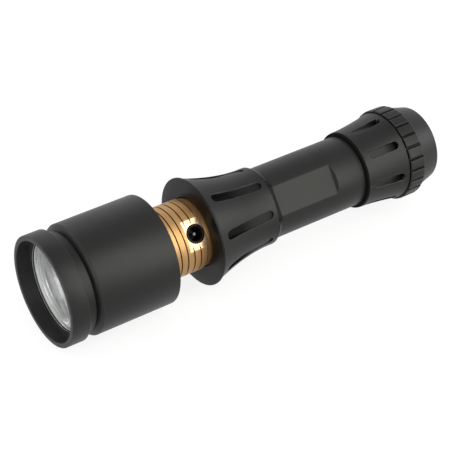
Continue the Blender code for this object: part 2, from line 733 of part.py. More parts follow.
def make_tail_sleeve(tail):
    """The flared tail, with slots milled level with its narrow end."""
    steps = 6
    flare = []
    for i in range(steps + 1):
        station = TAIL_FRONT + TAIL_LENGTH * i / steps
        flare.append((station, tail_radius(station)))
    bore = SPIGOT_RADIUS + GAP
    socket = CAP_SPIGOT_RADIUS + GAP
    outline = [(TAIL_FRONT, bore)] + flare
    outline += [(TAIL_REAR, socket), (TAIL_STEP, socket), (TAIL_STEP, bore)]
    sleeve = piece("tail_sleeve", turned(outline), "anodised_grey", tail)
    rear = TAIL_REAR - TAIL_SLOT_END
    for i in range(SLOT_COUNT):
        slot = slot_cutter(
            rear - TAIL_SLOT_LENGTH,
            rear,
            TAIL_SLOT_WIDTH,
            TAIL_SLOT_FLOOR,
            TAIL_SLOT_FLOOR,
            2 * TAIL_RADIUS,
            TAIL_SLOT_ANGLE + 360 * i / SLOT_COUNT,
        )
        boolean(sleeve, cutter(f"tail_slot_{i + 1}", slot, tail), "DIFFERENCE")


def make_end_cap(tail):
    """The ribbed ring and the tapered end, with the switch's cavity inside."""
    spigot_front = TAIL_STEP + GAP
    hole = BUTTON_RADIUS + GAP
    neck = tail_radius(TAIL_REAR) - GAP
    outline = [
        (spigot_front, CAP_CAVITY),
        (spigot_front, CAP_SPIGOT_RADIUS),
        (CAP_FRONT, CAP_SPIGOT_RADIUS),
        (CAP_FRONT, RING_RADIUS),
        (RING_REAR - RIB_DEPTH / 2, RING_RADIUS),
        (RING_REAR, RING_RADIUS - RIB_DEPTH / 2),
        (RING_REAR, neck),
        (CAP_REAR - CAP_CORNER, CAP_END_RADIUS),
        (CAP_REAR, CAP_END_RADIUS - CAP_CORNER),
        (CAP_REAR, hole),
        (CAVITY_REAR, hole),
        (CAVITY_REAR, CAP_CAVITY),
    ]
    cap = piece("end_cap", turned(outline, 2 * RIB_COUNT), "anodised_grey", tail)
    rim = RING_RADIUS - RIB_DEPTH
    combs = bmesh.new()
    for i in range(RIB_COUNT):
        turn = 360 * (i + 0.5) / RIB_COUNT
        low = (CAP_FRONT - GAP, -RIB_GROOVE / 2, rim)
        high = (RING_REAR + GAP, RIB_GROOVE / 2, 2 * RING_RADIUS)
        groove = block(low, high, turn)
        scratch = bpy.data.meshes.new("groove")
        groove.to_mesh(scratch)
        groove.free()
        combs.from_mesh(scratch)
        bpy.data.meshes.remove(scratch)
    boolean(cap, cutter("rib_grooves", combs, tail), "DIFFERENCE")


def make_switch(tail, button):
    """The switch on its board, its spacer and retainer, and the button that works it."""
    radius = CAP_CAVITY - GAP
    opening = SWITCH_RADIUS + GAP
    retainer = tube(RETAINER_REAR - RETAINER_THICKNESS, RETAINER_REAR, opening, radius)
    piece("retaining_ring", retainer, "brass", tail)
    board = disc(SWITCH_BOARD_FRONT, SWITCH_BOARD_FRONT + BOARD_THICKNESS, radius)
    piece("switch_board", board, "green_board", tail)
    well = SWITCH_REAR - STEM_LENGTH
    outline = [
        (SWITCH_FRONT, 0),
        (SWITCH_FRONT, SWITCH_RADIUS),
        (SWITCH_REAR, SWITCH_RADIUS),
        (SWITCH_REAR, STEM_RADIUS + GAP),
        (well, STEM_RADIUS + GAP),
        (well, 0),
    ]
    piece("switch_body", turned(outline, SMALL_SEGMENTS), "black_plastic", tail)
    flange = BUTTON_RADIUS + BUTTON_FLANGE
    spacer = tube(SWITCH_FRONT, CAVITY_REAR - GAP, flange + GAP, radius)
    piece("switch_spacer", spacer, "white_plastic", tail)
    stem_front = PLUNGER_FRONT - STEM_LENGTH
    outline = [
        (stem_front, 0),
        (stem_front, STEM_RADIUS),
        (PLUNGER_FRONT, STEM_RADIUS),
        (PLUNGER_FRONT, PLUNGER_RADIUS),
        (PLUNGER_FRONT + PLUNGER_THICKNESS, PLUNGER_RADIUS),
        (PLUNGER_FRONT + PLUNGER_THICKNESS, 0),
    ]
    piece("switch_plunger", turned(outline, SMALL_SEGMENTS), "white_plastic", button)
    top = CAP_REAR - BUTTON_RECESS
    outline = [
        (FLANGE_FRONT, 0),
        (FLANGE_FRONT, flange),
        (FLANGE_FRONT + BUTTON_FLANGE_THICKNESS, flange),
        (FLANGE_FRONT + BUTTON_FLANGE_THICKNESS, BUTTON_RADIUS),
        (top - BUTTON_RECESS, BUTTON_RADIUS),
        (top - BUTTON_RECESS / 3, 0.85 * BUTTON_RADIUS),
        (top, 0.5 * BUTTON_RADIUS),
        (top, 0),
    ]
    piece("switch_boot", turned(outline, 32), "black_rubber", button)


def make_tail_spring(slider):
    """The spring that presses the cell forward."""
    wire = 0.0004
    rear = SWITCH_BOARD_FRONT - GAP
    coil("tail_spring", CELL_REAR + GAP, rear, SWITCH_RADIUS - 4 * wire, wire, 4, slider)


def main():
    clear_scene()
    handle = frame("handle_frame")
    head_slider = frame("head_slide_frame", handle)
    head = frame("head_turn_frame", head_slider)
    tail_slider = frame("tail_slide_frame", handle)
    tail = frame("tail_turn_frame", tail_slider)
    button = frame("button_frame", tail)
    make_bezel_ring(head)
    make_lens_and_seal(head)
    make_reflector(head)
    gland = make_head_shell(head)
    make_head_ring(gland, head_slider)
    make_neck(handle)
    make_lamp(handle)
    make_electronics(handle)
    make_body_tube(handle)
    make_battery(handle)
    make_tail_seal(handle)
    make_tail_spring(tail_slider)
    make_tail_sleeve(tail)
    make_end_cap(tail)
    make_switch(tail, button)


main()
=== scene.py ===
"""The finished looks of a rechargeable tactical flashlight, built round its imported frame.

Every new piece is a surface worked out with numpy, and every finish is a node material on
Object coordinates. Stations along the torch are metres from the bezel's face.
"""

import math

import bmesh
import bpy
import numpy as np
from bpy.props import FloatProperty, FloatVectorProperty, IntProperty, PointerProperty
from bpy.types import Operator, Panel, PropertyGroup
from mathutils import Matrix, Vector


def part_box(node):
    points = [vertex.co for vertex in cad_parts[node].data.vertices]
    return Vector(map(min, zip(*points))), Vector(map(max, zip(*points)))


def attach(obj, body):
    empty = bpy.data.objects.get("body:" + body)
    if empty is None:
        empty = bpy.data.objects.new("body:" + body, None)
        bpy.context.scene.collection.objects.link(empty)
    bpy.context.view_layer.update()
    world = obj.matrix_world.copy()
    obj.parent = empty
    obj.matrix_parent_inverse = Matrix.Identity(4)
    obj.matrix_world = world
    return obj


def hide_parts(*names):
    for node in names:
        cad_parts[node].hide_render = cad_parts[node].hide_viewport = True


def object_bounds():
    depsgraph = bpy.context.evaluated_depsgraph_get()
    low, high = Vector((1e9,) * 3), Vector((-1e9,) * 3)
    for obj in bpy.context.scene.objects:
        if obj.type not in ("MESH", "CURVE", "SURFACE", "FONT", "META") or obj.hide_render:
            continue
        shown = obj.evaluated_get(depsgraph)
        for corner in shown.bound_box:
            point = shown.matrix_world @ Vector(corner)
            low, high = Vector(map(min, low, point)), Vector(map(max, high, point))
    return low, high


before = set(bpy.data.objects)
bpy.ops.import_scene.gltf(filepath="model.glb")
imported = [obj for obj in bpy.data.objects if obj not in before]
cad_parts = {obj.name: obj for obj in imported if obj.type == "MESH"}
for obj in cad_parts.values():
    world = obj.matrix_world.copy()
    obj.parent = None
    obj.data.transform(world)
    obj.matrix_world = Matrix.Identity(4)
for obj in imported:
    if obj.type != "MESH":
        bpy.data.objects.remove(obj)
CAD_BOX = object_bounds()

bl_info = {
    "name": "Tactical Flashlight Looks",
    "version": (1, 0, 0),
    "blender": (4, 5, 0),
    "location": "3D View > Sidebar > Flashlight",
    "description": "Builds the fine surfaces, finishes and studio of a tactical flashlight",
    "category": "Add Mesh",
}

FRONT = CAD_BOX[0].x
AXIS_Z = (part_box("lens")[0].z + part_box("lens")[1].z) / 2
TURN = 2 * math.pi


def span(node):
    """A CAD node's first and last station along the torch."""
    low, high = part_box(node)
    return low.x - FRONT, high.x - FRONT


def radius_of(node):
    """A round CAD node's outer radius."""
    low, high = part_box(node)
    return (high.z - low.z) / 2


def length(name, default, about):
    """A length that a user may change, in metres."""
    return FloatProperty(name=name, default=default, description=about, min=0.0,
                         precision=5, subtype="DISTANCE", unit="LENGTH")


def angle(name, degrees, about):
    """An angle that a user may change."""
    return FloatProperty(name=name, default=math.radians(degrees), description=about,
                         subtype="ANGLE", unit="ROTATION")


def colour(name, default, about):
    """A linear colour that a user may change."""
    return FloatVectorProperty(name=name, default=default, description=about, size=3,
                               min=0.0, max=1.0, subtype="COLOR")


class TorchHeadSizes(PropertyGroup):
    """Sizes of the bezel, lens, reflector and barrel."""
    edge: length("Edge break", 0.00035, "Radius of the turned outer edges")
    band: length("Bezel band", 0.0064, "Length of the bezel's front band")
    mouth: length("Mouth radius", 0.0173, "Inner radius of the bezel's front lip")
    wall_taper: length("Wall taper", 0.0007, "How much the bezel's inner wall closes in")
    groove: length("Groove depth", 0.0019, "Depth of the groove behind the band")
    gap: length("Gap", 0.0003, "Gap that touching pieces keep")
    fit: length("Fit", 0.00003, "Gap left in a visible joint")
    seal_shows: length("Seal shows", 0.0001, "How much of the seal shows inside the ledge")
    ledge: length("Lens ledge", 0.0006, "Thickness of the ledge in front of the lens")
    shoulder: length("Shoulder length", 0.0017, "Length of the barrel's front shoulder")
    dish_mouth: length("Dish mouth", 0.0154, "Radius of the reflector's mouth")
    dish_depth: length("Dish depth", 0.0178, "Depth of the reflector's parabola")
    dish_hole: length("Dish hole", 0.0036, "Radius of the hole for the lamp")
    dish_wall: length("Dish wall", 0.0009, "Wall of the reflector")
    dish_skirt: length("Dish skirt", 0.0068, "Depth of the skirt that the reflector stands on")
    facets: IntProperty(name="Orange peel", default=26, min=0,
                        description="Dimples round the reflector")


class TorchNeckSizes(PropertyGroup):
    """Sizes of the threaded neck and its charging jack."""
    pitch: length("Thread pitch", 0.0025, "Advance of the head in one turn")
    depth: length("Thread depth", 0.00055, "Depth of the thread's groove")
    line: length("Groove width", 0.00040, "Width of the thread's groove")
    wall: length("Wall", 0.0028, "Wall of the neck behind the lamp")
    mouth_wall: length("Mouth wall", 0.0020, "Wall of the neck in front of the lamp")
    shank: length("Shank step", 0.0005, "Step from the thread down to the seat in the handle")
    wire_hole: length("Wire hole", 0.0013, "Radius of the hole through the lamp's web")
    relief: length("Relief", 0.0011, "Width of the relief at the end of the thread")
    flat_depth: length("Flat depth", 0.0011, "Depth of the milled flat under the crests")
    flat_width: length("Flat width", 0.0078, "Width of the milled flat along the neck")
    jack_angle: angle("Jack angle", 53.0, "Turn of the jack from the top")
    jack: length("Jack radius", 0.0030, "Outer radius of the jack's body")
    socket: length("Socket radius", 0.0025, "Radius of the jack's socket")
    jack_length: length("Jack length", 0.0090, "Depth of the jack's body")
    socket_depth: length("Socket depth", 0.0062, "Depth of the jack's socket")
    pin: length("Pin radius", 0.00065, "Radius of the jack's pin")


class TorchHandleSizes(PropertyGroup):
    """Sizes of the flared handle, its slots and its flat panel."""
    rim: length("Rim", 0.0008, "Width of the collar's rim")
    waist: length("Waist radius", 0.0138, "Radius at the end of the flare")
    flare_drop: length("Flare drop", 0.0004, "Step from the rim down to the flare")
    flare_length: length("Flare length", 0.0229, "Length of the concave flare")
    flare_power: FloatProperty(name="Flare power", default=1.75, min=1.0,
                               description="How sharply the flare opens")
    collar_length: length("Collar length", 0.0283, "Length of the collar with its step")
    step: length("Step", 0.0024, "Length of the step from the collar to the tube")
    tube: length("Tube radius", 0.0126, "Outer radius of the tube")
    slot_count: IntProperty(name="Slots", default=8, min=1, description="Slots round the collar")
    slot_width: length("Slot width", 0.0030, "Width of a collar slot")
    slot_from: length("Slot start", 0.0034, "From the collar's face to a slot")
    slot_length: length("Slot length", 0.0206, "Length of a collar slot")
    slot_front_depth: length("Slot front depth", 0.0021, "Depth at the front end")
    slot_rear_depth: length("Slot rear depth", 0.0005, "Depth at the rear end")
    slot_angle: angle("Slot angle", 22.5, "Turn of the first slot from the top")
    panel_depth: length("Panel depth", 0.0011, "Depth of the flat panel")
    panel_length: length("Panel length", 0.0252, "Length of the flat panel")
    panel_ramp: length("Panel ramp", 0.0010, "Length of the slope that ends the panel")
    panel_angle: angle("Panel angle", 54.5, "Turn of the flat panel from the top")


class TorchTailSizes(PropertyGroup):
    """Sizes of the flared tail, its slots, its ribs and its button."""
    front: length("Front radius", 0.01385, "Radius at the front of the tail")
    flare: length("Flare", 0.0019, "How much the tail grows")
    power: FloatProperty(name="Flare power", default=1.5, min=1.0,
                         description="How sharply the tail opens")
    slot_width: length("Slot width", 0.0028, "Width of a tail slot")
    slot_floor: length("Slot floor", 0.01375, "Height of the slots' floor over the axis")
    slot_end: length("Slot end", 0.0020, "From a slot to the tail's rear face")
    slot_length: length("Slot length", 0.0120, "Length of the slot's cutter")
    slot_angle: angle("Slot angle", 42.5, "Turn of the first slot from the top")
    ring_length: length("Ring length", 0.0061, "Length of the ribbed ring")
    ribs: IntProperty(name="Ribs", default=24, min=3, description="Pads round the ring")
    rib_groove: length("Rib groove", 0.0009, "Width of the groove between two pads")
    rib_depth: length("Rib depth", 0.0008, "Depth of the groove between two pads")
    cap_end: length("End radius", 0.0132, "Radius at the end of the taper")
    corner: length("Corner", 0.0011, "Radius of the end's rounded corner")
    hole: length("Button hole", 0.0072, "Radius of the hole for the button")
    chamber: length("Chamber", 0.0109, "Radius of the switch's chamber")
    end_wall: length("End wall", 0.0037, "Wall behind the switch's chamber")
    chamber_wall: length("Chamber wall", 0.0020, "Wall round the switch's chamber")


class TorchColours(PropertyGroup):
    """Base colours of the finishes."""
    black: colour("Anodised black", (0.0036, 0.0034, 0.0034), "Body of the torch")
    worn: colour("Worn edge", (0.10, 0.098, 0.095), "Where handling thins the black")
    gold: colour("Anodised gold", (0.40, 0.248, 0.118), "Neck")
    milled: colour("Milled gold", (0.50, 0.345, 0.225), "Flat that was milled on the neck")
    silver: colour("Reflector", (0.93, 0.93, 0.92), "Reflector's coating")
    rubber: colour("Rubber", (0.005, 0.005, 0.005), "Seals and button")
    plastic: colour("Black plastic", (0.004, 0.003, 0.004), "Jack and switch")
    steel: colour("Steel", (0.62, 0.62, 0.60), "Pins, screws and springs")
    board: colour("Board", (0.016, 0.12, 0.05), "Circuit boards")


class TorchStage(PropertyGroup):
    """Camera, lights and floor."""
    azimuth: angle("Azimuth", -34.31, "Camera's turn round the torch")
    elevation: angle("Elevation", 36.55, "Camera's height over the horizon")
    lens: FloatProperty(name="Lens", default=128.5, min=10.0, unit="CAMERA",
                        description="Focal length for a 36 mm sensor")
    side: length("Side", 0.05744, "From the centre of view back to the bezel's centre")
    below: length("Below", 0.02127, "From the centre of view down to the bezel's centre")
    distance: length("Distance", 0.506, "From the camera to the bezel's plane")
    key: FloatProperty(name="Key light", default=1.0, min=0.0, description="Strength of the strip")
    fill: FloatProperty(name="Surround", default=1.0, min=0.0, description="Strength of the surround")


def settings():
    """The scene's own property groups."""
    return bpy.context.scene.torch_looks


class TorchLooks(PropertyGroup):
    """All of the torch's settings."""
    head: PointerProperty(type=TorchHeadSizes, name="Head")
    neck: PointerProperty(type=TorchNeckSizes, name="Neck")
    handle: PointerProperty(type=TorchHandleSizes, name="Handle")
    tail: PointerProperty(type=TorchTailSizes, name="Tail")
    colours: PointerProperty(type=TorchColours, name="Colours")
    stage: PointerProperty(type=TorchStage, name="Stage")


# ---------------------------------------------------------------- surfaces


def rounded(corners, steps=4, closed=True):
    """An outline whose corners are arcs.

    corners holds (station, radius, fillet). Each corner's arc leaves its two sides at the
    fillet's tangent length and turns about the centre on the corner's bisector. Returns the
    stations, the radii and a wear share, 1 on the middle of a small outward arc, less on a
    wide one and 0 elsewhere.
    An open outline keeps its two ends as they are.
    """
    points = np.array([corner[:2] for corner in corners], float)
    fillets = np.array([corner[2] for corner in corners], float)
    before = np.roll(points, 1, axis=0) - points
    after = np.roll(points, -1, axis=0) - points
    if not closed:
        fillets[[0, -1]] = 0
    before /= np.linalg.norm(before, axis=1)[:, None]
    after /= np.linalg.norm(after, axis=1)[:, None]
    stations, radii, wear_and_shade = [], [], []
    area = np.sum(points[:, 0] * np.roll(points[:, 1], -1) - points[:, 1] * np.roll(points[:, 0], -1))
    for point, fillet, back, ahead in zip(points, fillets, before, after):
        if fillet == 0:
            stations.append(point[:1])
            radii.append(point[1:])
            wear_and_shade.append(np.zeros(1))
            continue
        half = math.acos(max(-1.0, min(1.0, float(back @ ahead)))) / 2
        bisector = (back + ahead) / np.linalg.norm(back + ahead)
        centre = point + bisector * fillet / math.sin(half)
        reach = fillet / math.tan(half)
        start, end = point + back * reach - centre, point + ahead * reach - centre
        share = np.linspace(0, 1, steps + 1)[:, None]
        sweep = math.pi - 2 * half
        arc = (start * np.sin((1 - share) * sweep) + end * np.sin(share * sweep)) / math.sin(sweep)
        arc = centre + arc
        convex = (back[0] * ahead[1] - back[1] * ahead[0]) * area < 0
        stations.append(arc[:, 0])
        radii.append(arc[:, 1])
        wear_and_shade.append(np.sin(share[:, 0] * math.pi) * float(convex) * min(1.0, 0.0004 / fillet) ** 2)
    return np.concatenate(stations), np.concatenate(radii), np.concatenate(wear_and_shade)


def grid_faces(rows, columns):
    """Quads of a grid that closes both ways."""
    i, j = np.meshgrid(np.arange(rows), np.arange(columns), indexing="ij")
    down = (i + 1) % rows
    right = (j + 1) % columns
    a = i * columns + j
    b = down * columns + j
    c = down * columns + right
    d = i * columns + right
    return np.stack([a, b, c, d], axis=-1).reshape(-1, 4)


def make_mesh(name, points, faces, wear_and_shade=None, sharp=40.0, cavity=None, bare=None):
    """A mesh from whole arrays, merged where points meet, closed and facing out.

    wear marks edges that handling thins and, on the neck, the thread's grooves for painted shade;
    cavity carries painted shade for slots, grooves, steps and the collar's face; bare marks a bore that
    was left uncoated.
    """
    mesh = bpy.data.meshes.new(name)
    mesh.vertices.add(len(points))
    mesh.vertices.foreach_set("co", np.asarray(points, np.float32).ravel())
    mesh.loops.add(faces.size)
    mesh.loops.foreach_set("vertex_index", faces.astype(np.int32).ravel())
    mesh.polygons.add(len(faces))
    mesh.polygons.foreach_set("loop_start", np.arange(len(faces), dtype=np.int32) * faces.shape[1])
    mesh.update(calc_edges=True)
    for share, values in (("wear_and_shade", wear_and_shade), ("cavity", cavity), ("bare", bare)):
        if values is not None:
            layer = mesh.attributes.new(share, "FLOAT", "POINT")
            layer.data.foreach_set("value", np.asarray(values, np.float32).ravel())
    shape = bmesh.new()
    shape.from_mesh(mesh)
    bmesh.ops.remove_doubles(shape, verts=shape.verts, dist=2e-7)
    bmesh.ops.dissolve_degenerate(shape, edges=shape.edges, dist=1e-7)
    bmesh.ops.recalc_face_normals(shape, faces=shape.faces)
    if shape.calc_volume(signed=True) < 0:
        bmesh.ops.reverse_faces(shape, faces=shape.faces)
    shape.to_mesh(mesh)
    shape.free()
    mesh.shade_smooth()
    mesh.set_sharp_from_angle(angle=math.radians(sharp))
    return mesh


def place(mesh, finish, body, nodes=()):
    """Put a finished mesh in the scene, riding on a body and standing for CAD nodes."""
    mesh.materials.clear()
    mesh.materials.append(finish)
    made = bpy.data.objects.new(mesh.name, mesh)
    bpy.context.scene.collection.objects.link(made)
    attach(made, body)
    for node in nodes:
        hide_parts(node)
    return made


def round_points(station, radius, turn):
    """Points at stations and radii, turned from the top towards -Y."""
    station, radius, turn = np.broadcast_arrays(station, radius, turn)
    return np.stack(
        [FRONT + station, -radius * np.sin(turn), AXIS_Z + radius * np.cos(turn)], axis=-1
    )


def turned(name, corners, columns=160, steps=4, bore=None):
    """A closed outline turned round the torch's axis: P(i, j) = (s_i, r_i at angle j).

    bore is the radius of a wall that was left uncoated.
    """
    station, radius, wear_and_shade = rounded(corners, steps)
    turn = np.arange(columns) * TURN / columns
    points = round_points(station[:, None], radius[:, None], turn[None, :])
    wear_and_shade = np.broadcast_to(wear_and_shade[:, None], points.shape[:2])
    bare = None
    if bore:
        bare = np.broadcast_to(np.abs(radius - bore)[:, None] < 1e-6, points.shape[:2])
    faces = grid_faces(len(station), columns)
    return make_mesh(name, points.reshape(-1, 3), faces, wear_and_shade, 40.0, None, bare)


def slot_grid(station, radius, wear_and_shade, slot, columns=14):
    """Cut like slots round a turned outer side.

    Each sector holds one slot. Across it the columns run over the flat floor, up the two
    straight walls, round the top edges and over the turned surface. A row's half width is
    the round-ended slot's, w(s) = sqrt(h^2 - (s - end)^2) near an end, and never more than
    where the floor's plane leaves the turned surface, sqrt(r^2 - z^2).
    """
    count, half, front, rear = slot["count"], slot["width"] / 2, slot["front"], slot["rear"]
    edge = slot["edge"]
    slope = (slot["rear_floor"] - slot["front_floor"]) / (rear - front)
    floor = slot["front_floor"] + slope * (station - front)
    nearest = np.clip(station, front + half, rear - half)
    width = np.sqrt(np.clip(half**2 - (station - nearest) ** 2, 0, None))
    leaves = np.sqrt(np.clip(radius**2 - floor**2, 0, None))
    inside = slot["inside"] & (floor < radius)
    width = np.where(inside, np.minimum(width, leaves), half)
    top = np.sqrt(np.clip(radius**2 - width**2, 1e-12, None))
    foot = np.where(inside, np.minimum(floor, top), top)
    rise = np.minimum(edge, (top - foot) / 2)
    brim = width + np.where(inside, rise, edge)
    sector = math.pi / count
    flat = np.stack([np.zeros_like(width), width / 2, width - np.where(inside, rise, edge / 2)], -1)
    flat = np.clip(flat, 0, None)
    flat_z = np.where(inside[:, None], foot[:, None], np.sqrt(radius[:, None] ** 2 - flat**2))
    wall = np.stack([width, width], -1)
    wall_z = np.stack([foot + rise, top - rise], -1)
    y = np.concatenate([flat, wall, brim[:, None]], axis=-1)
    brim_z = np.sqrt(radius**2 - brim**2)
    z = np.concatenate([flat_z, wall_z, brim_z[:, None]], axis=-1)
    near = np.arctan2(y, z)
    far = near[:, -1:] + (sector - near[:, -1:]) * np.linspace(0, 1, columns + 1)[None, 1:]
    turn = np.concatenate([near, far], axis=-1)
    reach = np.concatenate([np.hypot(y, z), np.repeat(radius[:, None], columns, axis=1)], axis=-1)
    lip = np.zeros_like(reach)
    lip[:, 4] = lip[:, 5] = np.where(inside & (top - foot > edge / 2), 1.0, 0.0)
    turn = np.concatenate([-turn[:, :0:-1], turn[:, :-1]], axis=-1)
    reach = np.concatenate([reach[:, :0:-1], reach[:, :-1]], axis=-1)
    lip = np.concatenate([lip[:, :0:-1], lip[:, :-1]], axis=-1)
    centres = slot["angle"] + np.arange(count) * TURN / count
    turn = (centres[None, :, None] + turn[:, None, :]).reshape(len(station), -1)
    reach = np.tile(reach, (1, count))
    lip = np.tile(lip, (1, count))
    # painted shade: a point darkens as it lies deeper than slot["light"] below the turned surface, fully
    # dark slot["fade"] further down
    cavity = np.clip((radius[:, None] - reach - slot["light"]) / slot["fade"], 0, 1)
    return turn, reach, np.maximum(lip, wear_and_shade[:, None]), cavity


def slot_rows(front, rear, half, ends=9):
    """Stations through a round-ended slot, close together in its round ends."""
    bend = half * (1 - np.cos(np.linspace(0, math.pi / 2, ends)))
    middle = np.linspace(front + half, rear - half, 24)[1:-1]
    return np.concatenate([[front], front + bend, middle, rear - bend[::-1], [rear]])


def torus(name, station, ring, section, columns=120, sides=20):
    """A round-section ring: r = R + c cos v, s = s0 + c sin v."""
    around = np.arange(sides) * TURN / sides
    turn = np.arange(columns) * TURN / columns
    radius = ring + section * np.cos(around)
    points = round_points((station + section * np.sin(around))[:, None], radius[:, None], turn)
    return make_mesh(name, points.reshape(-1, 3), grid_faces(sides, columns))


def spindle(name, profile, origin, direction, columns=48, sharp=40.0):
    """A closed outline turned about a line: P(i, j) = o + h_i a + r_i (cos j u + sin j v)."""
    height, radius, wear_and_shade = rounded(profile, 3)
    axis = np.array(direction, float)
    side = np.cross(axis, (1.0, 0.0, 0.0))
    if np.linalg.norm(side) < 0.5:
        side = np.cross(axis, (0.0, 1.0, 0.0))
    side /= np.linalg.norm(side)
    other = np.cross(axis, side)
    turn = np.arange(columns) * TURN / columns
    rim = np.cos(turn)[None, :, None] * side + np.sin(turn)[None, :, None] * other
    points = np.array(origin) + height[:, None, None] * axis + radius[:, None, None] * rim
    wear_and_shade = np.broadcast_to(wear_and_shade[:, None], points.shape[:2])
    return make_mesh(name, points.reshape(-1, 3), grid_faces(len(height), columns), wear_and_shade, sharp)


def helix_tube(name, centres, section, sides=12):
    """A round wire along a path: P(i, j) = c_i + w_i (cos j u_i + sin j v_i), w = 0 at its ends."""
    ahead = np.gradient(centres, axis=0)
    ahead /= np.linalg.norm(ahead, axis=1)[:, None]
    side = np.cross(ahead, (1.0, 0.0, 0.0))
    side /= np.linalg.norm(side, axis=1)[:, None]
    other = np.cross(ahead, side)
    turn = np.arange(sides) * TURN / sides
    swell = np.full(len(centres), section)
    swell[[0, -1]] = 0.0
    swell[[1, -2]] = 0.7 * section
    rim = np.cos(turn)[None, :, None] * side[:, None] + np.sin(turn)[None, :, None] * other[:, None]
    points = centres[:, None, :] + swell[:, None, None] * rim
    return make_mesh(name, points.reshape(-1, 3), grid_faces(len(centres), sides)[:-sides])


def cut(made, cutters):
    """Cut closed meshes from a piece and keep the result."""
    tools = []
    for number, mesh in enumerate(cutters):
        tool = bpy.data.objects.new(f"cutter_{number}", mesh)
        bpy.context.scene.collection.objects.link(tool)
        step = made.modifiers.new("cut", "BOOLEAN")
        step.operation = "DIFFERENCE"
        step.object = tool
        tools.append(tool)
    bpy.context.view_layer.update()
    graph = bpy.context.evaluated_depsgraph_get()
    finished = bpy.data.meshes.new_from_object(made.evaluated_get(graph))
    made.modifiers.clear()
    made.data = finished
    for tool in tools:
        bpy.data.objects.remove(tool, do_unlink=True)
    finished.shade_smooth()
    finished.set_sharp_from_angle(angle=math.radians(28))


# ---------------------------------------------------------------- finishes


class Link:
    """A shader socket that can be written in expressions."""

    def __init__(self, maker, socket):
        self.maker = maker
        self.socket = socket

    def math(self, operation, *others):
        return self.maker.node("ShaderNodeMath", {"operation": operation}, [self, *others])

    def __add__(self, other):
        return self.math("ADD", other)

    __radd__ = __add__

    def __mul__(self, other):
        return self.math("MULTIPLY", other)

    __rmul__ = __mul__

    def __sub__(self, other):
        return self.math("SUBTRACT", other)

    def __rsub__(self, other):
        return self.maker.node("ShaderNodeMath", {"operation": "SUBTRACT"}, [other, self])

    def __truediv__(self, other):
        return self.math("DIVIDE", other)

    def __pow__(self, other):
        return self.math("POWER", other)

    def clamp(self):
        return self.maker.node("ShaderNodeClamp", {}, [self])


class Finish:
    """A node material: a Principled shader and the nodes that feed it."""

    def __init__(self, name, **values):
        self.material = bpy.data.materials.new(name)
        self.material.use_nodes = True
        self.tree = self.material.node_tree
        self.shader = self.tree.nodes["Principled BSDF"]
        self.set(self.shader, values)

    def set(self, node, values):
        """Fill sockets by name or number with links or plain values."""
        items = values.items() if isinstance(values, dict) else enumerate(values)
        for key, value in items:
            if isinstance(value, Link):
                self.tree.links.new(value.socket, node.inputs[key])
            elif value is not None:
                node.inputs[key].default_value = value

    def node(self, kind, options, values, output=0):
        """Any node: its settings first, then the values or links of its sockets."""
        made = self.tree.nodes.new(kind)
        for option, value in options.items():
            setattr(made, option, value)
        self.set(made, values)
        return Link(self, made.outputs[output])

    def coordinates(self, scale=(1, 1, 1), turn=(0, 0, 0)):
        """Object coordinates about the torch's axis, stretched and turned."""
        raw = self.node("ShaderNodeTexCoord", {}, {}, "Object")
        return self.node(
            "ShaderNodeMapping", {},
            {"Vector": raw, "Location": (0, 0, -AXIS_Z * scale[2]), "Rotation": turn, "Scale": scale},
        )

    def noise(self, where, scale, detail=3.0, roughness=0.5):
        return self.node(
            "ShaderNodeTexNoise", {},
            {"Vector": where, "Scale": scale, "Detail": detail, "Roughness": roughness}, "Fac",
        )

    def mix(self, share, a, b):
        """A colour between two colours."""
        shades = [(*c, 1.0) if isinstance(c, (tuple, list)) and len(c) == 3 else c for c in (a, b)]
        return self.node(
            "ShaderNodeMix", {"data_type": "RGBA"}, {0: share, 6: shades[0], 7: shades[1]}, 2
        )

    def attribute(self, name):
        return self.node("ShaderNodeAttribute", {"attribute_name": name}, {}, "Fac")

    def bump(self, height, strength, distance):
        return self.node(
            "ShaderNodeBump", {}, {"Strength": strength, "Distance": distance, "Height": height},
            "Normal",
        )

    def use(self, **values):
        """Feed the shader's sockets; underscores stand for spaces."""
        self.set(self.shader, {key.replace("_", " "): value for key, value in values.items()})
        return self.material


FINISHES = {}


def finish_for(name):
    """A finish, made the first time it is asked for."""
    if name not in FINISHES:
        FINISHES[name] = MAKERS[name](settings().colours)
    return FINISHES[name]


def anodised_black(c):
    """Satin black anodising: fine blasted grain, faint cloudiness and thinned edges.

    Where the cavity attribute marks a slot, groove, step or the collar's face, painted shade turns the
    surface almost black and metallic.
    """
    f = Finish("anodised_black", **{"Specular IOR Level": 0.24})
    where = f.coordinates()
    grain = f.noise(where, 5200.0, 2.0, 0.6)
    cloud = f.noise(where, 90.0, 3.0, 0.5)
    handled = f.noise(where, 420.0, 4.0, 0.65)
    thin = (f.attribute("wear_and_shade") * (handled * 2.2 - 0.75)).clamp()
    # painted shade: the cavity attribute darkens slots, grooves, steps and the collar's face to near black
    painted_shade = f.attribute("cavity") ** 0.7
    bare = f.attribute("bare")
    shade = f.mix(cloud, tuple(v * 0.82 for v in c.black), tuple(v * 1.22 for v in c.black))
    shade = f.mix(thin * 0.4, shade, tuple(c.worn))
    return f.use(
        Base_Color=f.mix(bare, f.mix(painted_shade, shade, (0.0022, 0.0021, 0.0022)), (0.85, 0.85, 0.84)),
        Metallic=(thin * 0.4 + painted_shade * 0.85 + bare * 0.6).clamp(),
        Roughness=0.38 + cloud * 0.06 + grain * 0.05 - thin * 0.06,
        Normal=f.bump(grain, 0.22, 0.00004),
    )


